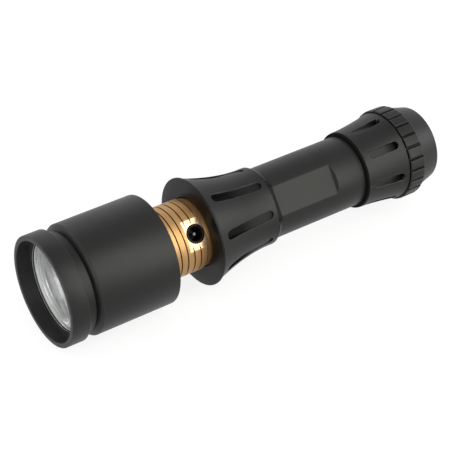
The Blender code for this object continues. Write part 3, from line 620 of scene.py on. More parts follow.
def anodised_gold(c):
    """Gold anodising on turned metal: tool lines round the neck, painted shade in the thread's grooves and
    a brighter milled flat.
    """
    n = settings().neck
    f = Finish("anodised_gold", **{"Metallic": 1.0})
    where = f.coordinates()
    lines = f.noise(f.coordinates((6500.0, 140.0, 140.0)), 1.0, 3.0, 0.6)
    cloud = f.noise(where, 240.0, 4.0, 0.6)
    stain = f.noise(f.coordinates((700.0, 160.0, 160.0)), 1.0, 3.0, 0.55)
    parts = f.node("ShaderNodeSeparateXYZ", {}, {"Vector": where}).socket.node.outputs
    x, y, z = (Link(f, part) for part in parts)
    height = z * math.cos(n.jack_angle) - y * math.sin(n.jack_angle)
    flat = radius_of("neck") - n.flat_depth
    low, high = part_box("charge_jack")
    off = ((height - flat) * 9000.0) ** 2
    near = ((x - (low.x + high.x) / 2).math("ABSOLUTE") * -1.0 + n.flat_width / 2) * 20000.0
    milled = (1.0 - off).clamp() * near.clamp()
    # painted shade: foot holds the depth of the thread's grooves and darkens the gold there
    foot = f.attribute("wear_and_shade")
    dull = tuple(v * k for v, k in zip(c.gold, (0.90, 0.82, 0.68)))
    shade = f.mix((stain * 2.6 - 0.8).clamp(), tuple(c.gold), dull)
    shade = f.mix(milled * 0.75, shade, tuple(c.milled))
    shade = f.mix(foot * 0.55, shade, (0.17, 0.085, 0.028))
    return f.use(
        Base_Color=shade,
        Roughness=0.36 + lines * 0.12 + cloud * 0.08 - milled * 0.14,
        Normal=f.bump(lines + cloud * 0.5, 0.3, 0.00004),
    )


def mirror_silver(c):
    """Vacuum-plated reflector with an orange-peel texture and softer patches."""
    f = Finish("mirror_silver")
    cells = f.node(
        "ShaderNodeTexVoronoi", {"feature": "SMOOTH_F1"},
        {"Vector": f.coordinates(), "Scale": 620.0, "Smoothness": 0.6}, "Distance",
    )
    patches = f.noise(f.coordinates((0.5, 1.0, 1.0)), 170.0, 3.0, 0.55)
    dim = ((patches - 0.50) * 4.0).clamp()
    cloud = f.noise(f.coordinates(), 900.0, 2.0, 0.5)
    return f.use(
        Base_Color=f.mix(dim * 0.9 + cloud * 0.1, tuple(c.silver), tuple(0.6 * v for v in c.silver)),
        Metallic=0.66 - patches * 0.4,
        Roughness=0.36 + cloud * 0.12,
        Normal=f.bump(cells * 0.5 + patches * 2.4, 0.7, 0.0009),
    )


def clear_glass(c):
    """Clear window with a faint smear: its mirror share grows at low angles."""
    f = Finish("clear_glass")
    smear = f.noise(f.coordinates(), 160.0, 3.0, 0.5)
    clear = f.node("ShaderNodeBsdfTransparent", {}, {"Color": (0.985, 0.99, 0.99, 1.0)})
    fresnel = f.node("ShaderNodeFresnel", {}, {"IOR": 1.45})
    both = f.node("ShaderNodeMixShader", {}, [(fresnel * 0.8 + (smear - 0.5) * 0.04).clamp(), clear, None])
    mixer = both.socket.node
    glossy = f.node("ShaderNodeBsdfGlossy", {}, {"Color": (1, 1, 1, 1), "Roughness": 0.03})
    f.tree.links.new(glossy.socket, mixer.inputs[2])
    output = next(n for n in f.tree.nodes if n.type == "OUTPUT_MATERIAL")
    f.tree.links.new(mixer.outputs[0], output.inputs["Surface"])
    f.tree.nodes.remove(f.shader)
    return f.material


def moulded(name, shade, roughness, grain_scale, grain, coat=0.0, gloss=0.5):
    """Moulded rubber or plastic: a fine skin texture and slightly uneven gloss."""
    f = Finish(name, **{"Coat Weight": coat, "Specular IOR Level": gloss})
    where = f.coordinates()
    skin = f.noise(where, grain_scale, 3.0, 0.6)
    cloud = f.noise(where, 180.0, 2.0, 0.5)
    return f.use(
        Base_Color=f.mix(cloud, tuple(v * 0.85 for v in shade), tuple(min(1, v * 1.15) for v in shade)),
        Roughness=roughness + (cloud - 0.5) * 0.12,
        Normal=f.bump(skin, grain, 0.00005),
    )


def turned_metal(name, shade, roughness):
    """Plain turned or drawn metal with fine lines."""
    f = Finish(name, **{"Metallic": 1.0})
    lines = f.noise(f.coordinates((7000.0, 300.0, 300.0)), 1.0, 2.0, 0.5)
    cloud = f.noise(f.coordinates(), 260.0, 3.0, 0.5)
    return f.use(
        Base_Color=f.mix(cloud, tuple(shade), tuple(v * 0.82 for v in shade)),
        Roughness=roughness + lines * 0.15,
        Normal=f.bump(lines, 0.2, 0.00003),
    )


def circuit_board(c):
    """Solder mask with tracks under it and bare pads."""
    f = Finish("circuit_board", **{"Coat Weight": 0.4, "Coat Roughness": 0.15})
    where = f.coordinates()
    tracks = f.node(
        "ShaderNodeTexVoronoi", {"feature": "DISTANCE_TO_EDGE"},
        {"Vector": where, "Scale": 900.0}, "Distance",
    )
    line = f.node("ShaderNodeMath", {"operation": "LESS_THAN"}, [tracks, 0.07])
    pads = f.node(
        "ShaderNodeTexVoronoi", {"feature": "F1"}, {"Vector": where, "Scale": 420.0}, "Distance"
    )
    pad = f.node("ShaderNodeMath", {"operation": "LESS_THAN"}, [pads, 0.20])
    green = f.mix(line, tuple(c.board), tuple(v * 1.9 for v in c.board))
    return f.use(
        Base_Color=f.mix(pad, green, (0.75, 0.74, 0.70)),
        Metallic=pad,
        Roughness=0.45 - pad * 0.15,
        Normal=f.bump(line + pad, 0.4, 0.00005),
    )


MAKERS = {
    "anodised_black": anodised_black,
    "anodised_gold": anodised_gold,
    "mirror_silver": mirror_silver,
    "clear_glass": clear_glass,
    "circuit_board": circuit_board,
    "rubber": lambda c: moulded("rubber", c.rubber, 0.62, 2600.0, 0.35, 0.0, 0.25),
    "seal": lambda c: moulded("seal", (0.0020, 0.0020, 0.0020), 0.70, 2600.0, 0.2, 0.0, 0.06),
    "plastic": lambda c: moulded("plastic", c.plastic, 0.40, 3200.0, 0.12, 0.0, 0.2),
    "white_plastic": lambda c: moulded("white_plastic", (0.72, 0.72, 0.69), 0.42, 2400.0, 0.2),
    "cell_wrap": lambda c: moulded("cell_wrap", (0.03, 0.10, 0.32), 0.30, 1800.0, 0.1, 0.2),
    "lamp": lambda c: moulded("lamp", (0.85, 0.68, 0.12), 0.25, 1500.0, 0.1, 0.5),
    "steel": lambda c: turned_metal("steel", c.steel, 0.20),
    # the pin's metal is darkened as painted shade inside the jack's socket
    "shaded_pin": lambda c: turned_metal("shaded_pin", (0.22, 0.20, 0.18), 0.45),
    "brass": lambda c: turned_metal("brass", (0.62, 0.42, 0.14), 0.22),
}


# ---------------------------------------------------------------- pieces


class TORCH_OT_bezel(Operator):
    """Turn the bezel ring: band, groove, tapered mouth and lens ledge"""
    bl_idname = "torch.bezel"
    bl_label = "Bezel Ring"

    def execute(self, context):
        h = settings().head
        outer = radius_of("bezel_ring")
        rear = span("bezel_ring")[1]
        shoulder = span("head_shell")[0]
        bore = radius_of("lens") + h.gap
        spigot = bore + 0.0007
        seal_front = span("lens_seal")[0]
        ledge = radius_of("lens") - h.gap
        corners = [
            (0, h.mouth, 0.00018),
            (0, outer, h.edge),
            (h.band, outer, h.edge * 0.7),
            (h.band, outer - h.groove, 0.0001),
            (shoulder - h.fit, outer - h.groove, 0.00003),
            (shoulder - h.fit, spigot, 0),
            (rear, spigot, 0.0001),
            (rear, bore, 0),
            (seal_front - h.gap, bore, 0),
            (seal_front - h.gap, ledge, 0.0001),
            (seal_front - h.gap - h.ledge, ledge, 0.0001),
            (seal_front - h.gap - h.ledge, h.mouth - h.wall_taper, 0.00015),
        ]
        mesh = turned("bezel_turned", corners, 200, 4, bore)
        place(mesh, finish_for("anodised_black"), "head", ["bezel_ring"])
        return {"FINISHED"}


class TORCH_OT_window(Operator):
    """Make the glass window and the rubber seal in front of it"""
    bl_idname = "torch.window"
    bl_label = "Window and Seal"

    def execute(self, context):
        front, rear = span("lens")
        radius = radius_of("lens")
        glass = turned("window_glass", [
            (front, 1e-5, 0), (front, radius, 0.0002), (rear, radius, 0.0002), (rear, 1e-5, 0),
        ], 160)
        place(glass, finish_for("clear_glass"), "head", ["lens"])
        front, rear = span("lens_seal")
        inner = radius - settings().head.gap - settings().head.seal_shows
        seal = turned("window_seal", [
            (front, inner, 0.00015), (front, radius, 0.0001), (rear, radius, 0.0001),
            (rear, inner, 0.00015),
        ], 160)
        place(seal, finish_for("rubber"), "head", ["lens_seal"])
        return {"FINISHED"}


class TORCH_OT_reflector(Operator):
    """Make the reflector: r = R sqrt(1 - d / D) with dimples over the dish"""
    bl_idname = "torch.reflector"
    bl_label = "Reflector"

    def execute(self, context):
        h = settings().head
        front, rear = span("reflector")
        flange = radius_of("reflector")
        deepest = h.dish_depth * (1 - (h.dish_hole / h.dish_mouth) ** 2)
        depth = deepest * np.linspace(1, 0, 70)
        radius = h.dish_mouth * np.sqrt(1 - depth / h.dish_depth)
        inside = np.stack([front + depth, radius], -1)
        skirt_rear = front + h.dish_skirt
        under = depth[(front + depth) > skirt_rear + h.gap][::-1][::6]
        back = np.stack([
            front + under, h.dish_mouth * np.sqrt(1 - under / h.dish_depth) + h.dish_wall], -1)
        under_skirt = h.dish_mouth * math.sqrt(1 - h.dish_skirt / h.dish_depth) + h.dish_wall
        hull = np.array([
            (front, flange - 0.0001), (front + 0.0001, flange), (front + 0.0012, flange),
            (front + 0.0012, flange - h.gap), (skirt_rear, flange - h.gap),
            (skirt_rear, under_skirt),
        ])
        boss = np.array([(rear, h.dish_hole + h.dish_wall), (rear, h.dish_hole)])
        outline = np.concatenate([inside, hull, back, boss])
        columns = 240
        turn = np.arange(columns) * TURN / columns
        ripple = np.zeros((len(outline), columns))
        along = np.arange(len(inside))[:, None]
        fade = np.sin(np.pi * np.arange(len(inside)) / (len(inside) - 1))[:, None]
        waves = np.cos(h.facets * turn[None, :] + math.pi * (along // 3)) * np.cos(along * 2.1)
        ripple[: len(inside)] = 0.000035 * waves * fade
        points = round_points(outline[:, :1], outline[:, 1:] + ripple, turn[None, :])
        mesh = make_mesh("reflector_dish", points.reshape(-1, 3), grid_faces(len(outline), columns))
        place(mesh, finish_for("mirror_silver"), "head", ["reflector"])
        return {"FINISHED"}


class TORCH_OT_barrel(Operator):
    """Turn the head's barrel with its rounded shoulder and its plain bore, and make the O-ring in its
    gland
    """
    bl_idname = "torch.barrel"
    bl_label = "Head Barrel"

    def execute(self, context):
        h, n = settings().head, settings().neck
        front, rear = span("head_shell")
        outer = radius_of("head_shell")
        socket = radius_of("lens") + 2 * h.gap + 0.0007
        cavity = radius_of("lens") - 0.0008
        ledge = span("reflector")[0] + h.dish_skirt + h.gap
        ring_front, ring_rear = span("head_oring")
        gland = radius_of("head_oring") + h.gap
        bore = radius_of("neck") + 0.00022
        lip = outer - h.groove + h.fit
        corners = [
            (front, socket, 0),
            (front, lip, 0),
            (front + 0.75 * h.shoulder, lip + 0.85 * (outer - lip), 0.0002),
            (front + h.shoulder, outer, 0.0003),
            (rear, outer, h.edge),
            (rear, bore + n.depth, 0.0001),
            (rear - n.depth, bore, 0.0001),
            (ring_rear + h.gap, bore, 0),
            (ring_rear + h.gap, gland, 0),
            (ring_front - h.gap, gland, 0),
            (ring_front - h.gap, bore, 0),
            (ring_front - 0.00095, bore, 0),
            (ring_front - 0.00095, cavity, 0.0002),
            (ledge, cavity, 0.0001),
            (ledge, socket, 0.0001),
        ]
        mesh = turned("head_barrel", corners, 200)
        place(mesh, finish_for("anodised_black"), "head", ["head_shell"])
        section = (ring_rear - ring_front) / 2
        middle = (ring_front + ring_rear) / 2
        ring = torus("head_ring", middle, radius_of("head_oring") - section, section)
        place(ring, finish_for("rubber"), "head_seal", ["head_oring"])
        return {"FINISHED"}


class TORCH_OT_neck(Operator):
    """Cut the neck's thread along its helix, then its flat and the jack's hole"""
    bl_idname = "torch.neck"
    bl_label = "Threaded Neck"

    def execute(self, context):
        h, n = settings().head, settings().neck
        front, rear = span("neck")
        crest = radius_of("neck")
        root = crest - n.depth
        collar = span("body_tube")[0]
        relief_front, relief_rear = collar - 2 * n.relief, collar - n.relief / 2
        web_front, web_rear = span("led_board")[1] + h.gap, span("driver_board")[0] - h.gap
        columns = 216
        edge = n.line / n.pitch / 2
        half_turn = np.array([0.0, 0.4, 0.7, 1.0, 1.2, 1.6]) * edge
        half_turn = np.concatenate([half_turn, np.linspace(0.2, 0.5, 4)])
        phases = np.concatenate([-half_turn[:0:-1], half_turn[:-1]])
        turns = math.ceil((relief_front - front) / n.pitch) + 2
        row = (np.arange(-1, turns)[:, None] + phases[None, :]).ravel()
        turn = np.arange(columns) * TURN / columns
        start = front - n.pitch / 2 - collar
        lead = n.pitch * turn[None, :] / TURN
        origin = collar + n.pitch * (math.floor(start / n.pitch) - 1)
        raw = origin + n.pitch * row[:, None] + lead
        station = np.clip(raw, front + 0.00012, relief_front)
        phase = ((station - collar - lead) / n.pitch + 0.5) % 1.0 - 0.5
        depth = np.clip((1.25 * edge - np.abs(phase)) / (0.7 * edge), 0, 1)
        depth = depth * depth * (3 - 2 * depth)
        nose = np.clip((station - front) / n.depth, 0.0, 1.0)
        radius = np.minimum(crest - n.depth * depth, root + n.depth * nose)
        tail = [
            (relief_front, root), (relief_front + 0.0005, root),
            (relief_front + 0.00055, root + 0.00025), (relief_front + 0.0009, root + 0.00025),
            (relief_front + 0.00095, root), (relief_rear, root),
            (relief_rear, crest - n.shank),
            (rear, crest - n.shank), (rear, crest - n.wall),
            (web_rear, crest - n.wall), (web_rear, n.wire_hole),
            (web_front, n.wire_hole), (web_front, crest - n.mouth_wall),
            (front, crest - n.mouth_wall), (front, root - 0.0001),
        ]
        tail = np.array(tail)
        extra = np.broadcast_to(tail[:, :1], (len(tail), columns))
        ring = np.broadcast_to(tail[:, 1:], (len(tail), columns))
        station = np.concatenate([station, extra])
        radius = np.concatenate([radius, ring])
        # foot, the depth of the thread's groove, is stored with the edge wear and paints shade into the
        # grooves
        foot = np.concatenate([depth, np.zeros_like(ring)])
        rows = len(station)
        points = round_points(station, radius, turn[None, :])
        faces = grid_faces(rows, columns)
        helix_rows = len(row)
        i = np.arange(helix_rows - 1)
        seam = i * columns + columns - 1
        pitch_rows = len(phases)
        ahead = np.minimum(i + pitch_rows, helix_rows - 1)
        ahead_next = np.minimum(i + 1 + pitch_rows, helix_rows - 1)
        faces = faces.reshape(rows, columns, 4)
        faces[:helix_rows - 1, -1] = np.stack(
            [seam, seam + columns, ahead_next * columns, ahead * columns], -1)
        mesh = make_mesh("neck_threaded", points.reshape(-1, 3), faces.reshape(-1, 4), foot, 28)
        made = place(mesh, finish_for("anodised_gold"), "handle", ["neck"])
        jack_low, jack_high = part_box("charge_jack")
        station = (jack_low.x + jack_high.x) / 2 - FRONT
        out = np.array([0.0, -math.sin(n.jack_angle), math.cos(n.jack_angle)])
        across = np.array([0.0, math.cos(n.jack_angle), math.sin(n.jack_angle)])
        centre = np.array([FRONT + station, 0.0, AXIS_Z])
        half = n.flat_width / 2
        block = box_mesh(
            centre + out * (crest - n.flat_depth + crest), (1.0, 0, 0), across, out,
            (half, 1.5 * crest, crest))
        hole = spindle("hole", [
            (crest * 0.4, 1e-5, 0), (crest * 0.4, n.jack + h.gap, 0),
            (2 * crest, n.jack + h.gap, 0), (2 * crest, 1e-5, 0),
        ], centre, out, 64)
        cut(made, [block, hole])
        return {"FINISHED"}


def box_mesh(centre, along, across, out, halves):
    """A block from its centre, three directions and three half sizes."""
    signs = np.array([(x, y, z) for x in (-1, 1) for y in (-1, 1) for z in (-1, 1)], float)
    basis = np.array([along, across, out], float)
    points = np.array(centre) + (signs * np.array(halves)) @ basis
    faces = np.array([(0, 1, 3, 2), (4, 6, 7, 5), (0, 4, 5, 1), (2, 3, 7, 6), (0, 2, 6, 4),
                      (1, 5, 7, 3)])
    return make_mesh("block", points, faces, None, 20)


class TORCH_OT_jack(Operator):
    """Make the charging jack with its socket and its centre pin"""
    bl_idname = "torch.jack"
    bl_label = "Charging Jack"

    def execute(self, context):
        n = settings().neck
        low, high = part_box("charge_jack")
        station = (low.x + high.x) / 2
        out = np.array([0.0, -math.sin(n.jack_angle), math.cos(n.jack_angle)])
        centre = np.array([station, 0.0, AXIS_Z])
        crest = radius_of("neck")
        top = crest - n.flat_depth
        floor = top - n.socket_depth
        gap = settings().head.gap
        body = spindle("jack_body", [
            (top - n.jack_length, 1e-5, 0), (top - n.jack_length, n.jack, 0.0002),
            (top, n.jack, 0.00025), (top, n.socket, 0.00012),
            (floor, n.socket, 0.0002), (floor, 1e-5, 0),
        ], centre, out, 72, 60)
        place(body, finish_for("plastic"), "handle", ["charge_jack"])
        pin = spindle("jack_pin", [
            (floor + gap, 1e-5, 0), (floor + gap, n.pin, 0), (top - 0.0006, n.pin, 0.0004),
            (top - 0.0006, 1e-5, 0),
        ], centre, out, 32, 60)
        # painted shade: the pin's darkened metal stands in for the socket's shade
        place(pin, finish_for("shaded_pin"), "handle", ["charge_pin"])
        return {"FINISHED"}


class TORCH_OT_handle(Operator):
    """Make the flared, slotted handle with its flat panel, as one closed surface"""
    bl_idname = "torch.handle"
    bl_label = "Handle"

    def execute(self, context):
        d, h = settings().handle, settings().head
        front, rear = span("body_tube")
        rim_radius = radius_of("body_tube")
        start = front + d.rim
        slot_front = front + d.slot_from
        slot_rear = slot_front + d.slot_length
        collar_rear = front + d.collar_length
        panel_front = collar_rear - d.step
        panel_rear = panel_front + d.panel_length
        tube_rear = span("tail_seal")[0] + h.gap / 2
        foot = collar_rear - 0.0004

        def flare(s):
            left = np.clip(1 - (s - start) / d.flare_length, 0, None)
            return d.waist + (rim_radius - d.flare_drop - d.waist) * left**d.flare_power

        lead = np.linspace(start, slot_front, 8)[:-1]
        slots = slot_rows(slot_front, slot_rear, d.slot_width / 2)
        after = np.linspace(slot_rear, panel_front - 0.0003, 5)[1:]
        flare_s = np.concatenate([lead, slots, after])
        inside = np.zeros(len(flare_s), bool)
        inside[len(lead) + 1: len(lead) + len(slots) - 1] = True
        flare_r = flare(flare_s)
        seat = radius_of("neck") - 0.0005 + h.gap
        spigot = radius_of("tail_seal") - 0.00185 - h.gap
        bore = d.tube - 0.0020
        neck_rear = span("neck")[1] + h.gap
        face_s, face_r, face_w = rounded([
            (front + 0.0006, seat, 0), (front, seat, 0.0002), (front, rim_radius, 0.0003),
            (start, rim_radius, 0.0003), (start + 0.0001, rim_radius - d.flare_drop, 0),
        ], 4, closed=False)
        lip = slice(1, len(face_s) - 1)
        rest = [
            (panel_front + 0.0001, d.waist, 0),
            (foot, d.tube, 0),
            (foot + 0.00005, d.tube, 0),
            (panel_rear, d.tube, 0),
        ]
        rest += [(panel_rear + d.panel_ramp * share, d.tube, 0) for share in np.linspace(0, 1, 9)[1:]]
        rest += [
            (panel_rear + d.panel_ramp + 0.00006, d.tube, 0),
            (tube_rear, d.tube, 0.0002),
            (tube_rear, spigot, 0),
            (rear, spigot, 0.0001),
            (rear, bore, 0.0001),
            (neck_rear, bore, 0.0001),
            (neck_rear, seat, 0),
        ]
        first = (flare_s[-1], flare_r[-1], 0)
        rest_s, rest_r, rest_w = rounded([first] + rest + [(front, seat, 0)], 4, closed=False)
        rest_s, rest_r, rest_w = rest_s[1:-1], rest_r[1:-1], rest_w[1:-1]
        station = np.concatenate([face_s[lip], flare_s, rest_s])
        radius = np.concatenate([face_r[lip], flare_r, rest_r])
        wear_and_shade = np.concatenate([face_w[lip], np.zeros(len(flare_s)), rest_w])
        within = np.zeros(len(station), bool)
        within[len(face_s[lip]): len(face_s[lip]) + len(flare_s)] = inside
        # the cavity from the slot grid is painted shade, darkest where the slots cut deepest
        turn, reach, wear_and_shade, cavity = slot_grid(station, radius, wear_and_shade, {
            "count": d.slot_count, "width": d.slot_width, "front": slot_front, "rear": slot_rear,
            "front_floor": float(flare(slot_front)) - d.slot_front_depth,
            "rear_floor": float(flare(slot_rear)) - d.slot_rear_depth,
            "edge": 0.00012, "inside": within, "angle": d.slot_angle,
            "light": 0.0, "fade": 0.0008,
        }, 12)
        rise = np.clip((station - panel_rear) / d.panel_ramp, 0, 1) * d.panel_depth
        level = d.tube - d.panel_depth + rise
        lean = np.cos(turn - d.panel_angle)
        panel_end = panel_rear + d.panel_ramp
        cut_here = (station >= panel_front) & (station < panel_end) & (radius > level)
        plane = np.where(lean > 0.5, level[:, None] / np.clip(lean, 0.5, None), 1.0)
        inward = np.clip((rim_radius - radius) / (rim_radius - seat), 0, 1)
        # painted shade on the collar's face, darker towards the neck
        cavity[station < start] = (0.3 + 0.65 * inward[station < start])[:, None]
        # painted shade on the step from the collar down to the tube
        cavity[(station > panel_front) & (station < foot + 0.00002)] = 0.8
        flat = cut_here[:, None] & (plane < reach)
        reach = np.where(flat, plane, reach)
        wear_and_shade = np.where(flat, 0.0, wear_and_shade)
        wear_and_shade[(station > panel_front) & (station < collar_rear)] *= 0.15
        # painted shade on the ramp that ends the flat panel
        cavity = np.where(flat & (rise > 0)[:, None], 0.55, cavity)
        points = round_points(station[:, None], reach, turn)
        faces = grid_faces(len(station), turn.shape[1])
        mesh = make_mesh("handle_body", points.reshape(-1, 3), faces, wear_and_shade, 22, cavity)
        place(mesh, finish_for("anodised_black"), "handle", ["body_tube"])
        seal_front, seal_rear = span("tail_seal")
        seal = turned("tail_ring", [
            (seal_front + 0.0002, spigot + h.gap, 0),
            (seal_front + 0.0002, radius_of("tail_seal") - 0.0001, 0.0003),
            (seal_rear, radius_of("tail_seal") - 0.0001, 0.0003),
            (seal_rear, spigot + h.gap, 0),
        ], 160)
        place(seal, finish_for("seal"), "handle", ["tail_seal"])
        return {"FINISHED"}


class TORCH_OT_tail(Operator):
    """Make the flared tail with its tear-drop slots"""
    bl_idname = "torch.tail"
    bl_label = "Tail Sleeve"

    def execute(self, context):
        t = settings().tail
        front, rear = span("tail_sleeve")
        bore = t.front - 0.00185
        socket = bore + 0.0012
        step = front + 0.0104
        slot_rear = rear - t.slot_end
        slot_front = slot_rear - t.slot_length

        def flare(s):
            return t.front + t.flare * np.clip((s - front) / (rear - front), 0, None) ** t.power

        half = t.slot_width / 2
        bend = half * (1 - np.cos(np.linspace(0, math.pi / 2, 11)))
        rows = np.concatenate([
            np.linspace(front + 0.0002, slot_rear - half, 60)[:-1],
            slot_rear - bend[::-1], [slot_rear],
            np.linspace(slot_rear, rear - 0.0002, 6)[1:],
        ])
        inside = rows <= slot_rear
        inside[np.flatnonzero(inside)[-1]] = False
        lead = front - 0.00025
        lip_s, lip_r, lip_w = rounded([
            (front + 0.0005, bore, 0), (lead, bore, 0.0001), (lead, t.front, 0.0002),
            (front + 0.0006, t.front, 0)], 4, closed=False)
        lip = slice(1, len(lip_s) - 1)
        end_s, end_r, end_w = rounded([
            (rear - 0.0006, float(flare(rear)), 0), (rear, float(flare(rear)), 0.00025),
            (rear, socket, 0.0001), (step, socket, 0), (step, bore, 0),
            (front + 0.0005, bore, 0)], 4, closed=False)
        station = np.concatenate([lip_s[lip], rows, end_s[1:-1]])
        radius = np.concatenate([lip_r[lip], flare(rows), end_r[1:-1]])
        wear_and_shade = np.concatenate([lip_w[lip], np.zeros(len(rows)), end_w[1:-1]])
        within = np.zeros(len(station), bool)
        within[len(lip_s[lip]): len(lip_s[lip]) + len(rows)] = inside
        # the cavity from the slot grid is painted shade, only where a slot lies deeper than 0.9 mm
        turn, reach, wear_and_shade, cavity = slot_grid(station, radius, wear_and_shade, {
            "count": settings().handle.slot_count, "width": t.slot_width,
            "front": slot_front, "rear": slot_rear, "front_floor": t.slot_floor,
            "rear_floor": t.slot_floor, "edge": 0.00010, "inside": within, "angle": t.slot_angle,
            "light": 0.0009, "fade": 0.0006,
        }, 12)
        points = round_points(station[:, None], reach, turn)
        faces = grid_faces(len(station), turn.shape[1])
        mesh = make_mesh("tail_flared", points.reshape(-1, 3), faces, wear_and_shade, 35, cavity)
        place(mesh, finish_for("anodised_black"), "tail", ["tail_sleeve"])
        return {"FINISHED"}


class TORCH_OT_end(Operator):
    """Make the end cap: ribbed ring, taper and rounded end"""
    bl_idname = "torch.end"
    bl_label = "End Cap"

    def execute(self, context):
        t, h = settings().tail, settings().head
        front, rear = span("end_cap")
        cap_front = span("tail_sleeve")[1] + 0.5 * h.gap
        ring = radius_of("end_cap")
        ring_rear = cap_front + t.ring_length
        chamber_rear = rear - t.end_wall
        neck = t.front + t.flare - h.gap
        spigot = t.chamber + t.chamber_wall
        corners = [
            (front, t.chamber, 0.0001), (front, spigot, 0.0001), (cap_front, spigot, 0),
            (cap_front, ring, 0.0005), (ring_rear, ring, 0.0006), (ring_rear, neck, 0.0001),
            (rear, t.cap_end, t.corner), (rear, t.hole, 0.0003), (chamber_rear, t.hole, 0),
            (chamber_rear, t.chamber, 0),
        ]
        station, radius, wear_and_shade = rounded(corners, 6)
        half = t.rib_groove / 2
        edge = 0.0002
        pitch = TURN / t.ribs
        foot = ring - t.rib_depth
        base = np.array([0.0, 0.6 * half, half - edge, half, half, half + edge]) / ring
        out = np.array([0, 0, 0, 1, 2, 3])
        far = np.linspace(base[-1], pitch / 2, 5)[1:]
        side = np.concatenate([base, far])
        kind = np.concatenate([out, np.full(len(far), 3)])
        side = np.concatenate([-side[:0:-1], side[:-1]])
        kind = np.concatenate([kind[:0:-1], kind[:-1]])
        turn = (np.arange(t.ribs)[:, None] * pitch + side[None, :] + pitch / 2).ravel()
        kind = np.tile(kind, t.ribs)
        level = np.choose(kind, [foot, foot + edge, ring - edge, ring])
        on_ring = (station >= cap_front - 1e-9) & (station <= ring_rear + 1e-9) & (radius > foot)
        reach = np.where(on_ring[:, None], np.minimum(radius[:, None], level[None, :]), radius[:, None])
        lip = on_ring[:, None] & (kind[None, :] >= 2) & (kind[None, :] <= 3)
        worn = np.where(lip & (np.abs(reach - ring) < 2 * edge), 1.0, 0.0)
        worn = np.maximum(worn * (np.roll(kind, 1) != kind)[None, :], wear_and_shade[:, None])
        points = round_points(station[:, None], reach, turn[None, :])
        faces = grid_faces(len(station), len(turn))
        # painted shade in the grooves between the pads
        cavity = np.where(on_ring[:, None] & (kind[None, :] < 2), 0.6, 0.0)
        # painted shade in the gap between the tail sleeve and the cap
        cavity[(station > cap_front - 0.0004) & (station < cap_front + 1e-5) & (radius < ring)] = 0.9
        mesh = make_mesh("end_ribbed", points.reshape(-1, 3), faces, worn, 35, cavity)
        place(mesh, finish_for("anodised_black"), "tail", ["end_cap"])
        return {"FINISHED"}


class TORCH_OT_button(Operator):
    """Make the rubber button with rings moulded on its top"""
    bl_idname = "torch.button"
    bl_label = "Push Button"

    def execute(self, context):
        front, top = span("switch_boot")
        flange = radius_of("switch_boot")
        radius = flange - 0.0017
        share = np.linspace(1, 0, 40)[1:-1]
        rings = 0.00012 * np.cos(share * radius / 0.0011 * TURN / 2) ** 2
        dome_r = share * radius
        dome_s = top - 0.0009 * share**4 - rings
        hull = np.array([
            (front, 1e-5), (front, flange), (front + 0.0007, flange), (front + 0.0007, radius),
            (top - 0.0011, radius), (top - 0.00095, radius - 0.00004),
        ])
        outline = np.concatenate([hull, np.stack([dome_s, dome_r], -1), [(top - 0.00012, 1e-5)]])
        turn = np.arange(96) * TURN / 96
        points = round_points(outline[:, :1], outline[:, 1:], turn[None, :])
        mesh = make_mesh("button_boot", points.reshape(-1, 3), grid_faces(len(outline), 96))
        place(mesh, finish_for("rubber"), "button", ["switch_boot"])
        return {"FINISHED"}


class TORCH_OT_springs(Operator):
    """Wind the contact springs: a helix whose turns close up at both ends"""
    bl_idname = "torch.springs"
    bl_label = "Contact Springs"

    def execute(self, context):
        for node, wire, turns, body in (
            ("front_spring", 0.0003, 4.5, "handle"), ("tail_spring", 0.0004, 4.5, "tail_contact"),
        ):
            front, rear = span(node)
            ring = radius_of(node) - wire
            share = np.linspace(0, 1, 200)
            rise = share - 0.09 * np.sin(TURN * share)
            station = front + wire + (rear - front - 2 * wire) * rise
            centres = round_points(station, ring, TURN * turns * share)
            mesh = helix_tube(node + "_wire", centres, wire)
            place(mesh, finish_for("steel"), body, [node])
        return {"FINISHED"}


class TORCH_OT_inside(Operator):
    """Give every inner piece of the frame its finish"""
    bl_idname = "torch.inside"
    bl_label = "Inner Pieces"

    def execute(self, context):
        finishes = {
            "led_board": "white_plastic", "led_emitter": "lamp", "led_screw_1": "steel",
            "led_screw_2": "steel", "driver_board": "circuit_board",
            "charge_board": "circuit_board", "contact_carrier": "white_plastic",
            "battery_cell": "cell_wrap", "battery_sleeve": "white_plastic",
            "retaining_ring": "brass", "switch_board": "circuit_board",
            "switch_body": "plastic", "switch_spacer": "white_plastic",
            "switch_plunger": "white_plastic",
        }
        for node, name in finishes.items():
            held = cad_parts[node]
            held.data.materials.clear()
            held.data.materials.append(finish_for(name))
        return {"FINISHED"}


def soft_light(name, centre, aim, size, energy, tint=(1, 1, 1)):
    """A rectangular soft box at a point, facing another."""
    lamp = bpy.data.lights.new(name, "AREA")
    lamp.shape = "RECTANGLE"
    lamp.size, lamp.size_y = size
    lamp.energy = energy
    lamp.color = tint
    made = bpy.data.objects.new(name, lamp)
    made.location = centre
    made.rotation_euler = (Vector(aim) - Vector(centre)).to_track_quat("-Z", "Y").to_euler()
    bpy.context.scene.collection.objects.link(made)
    return made


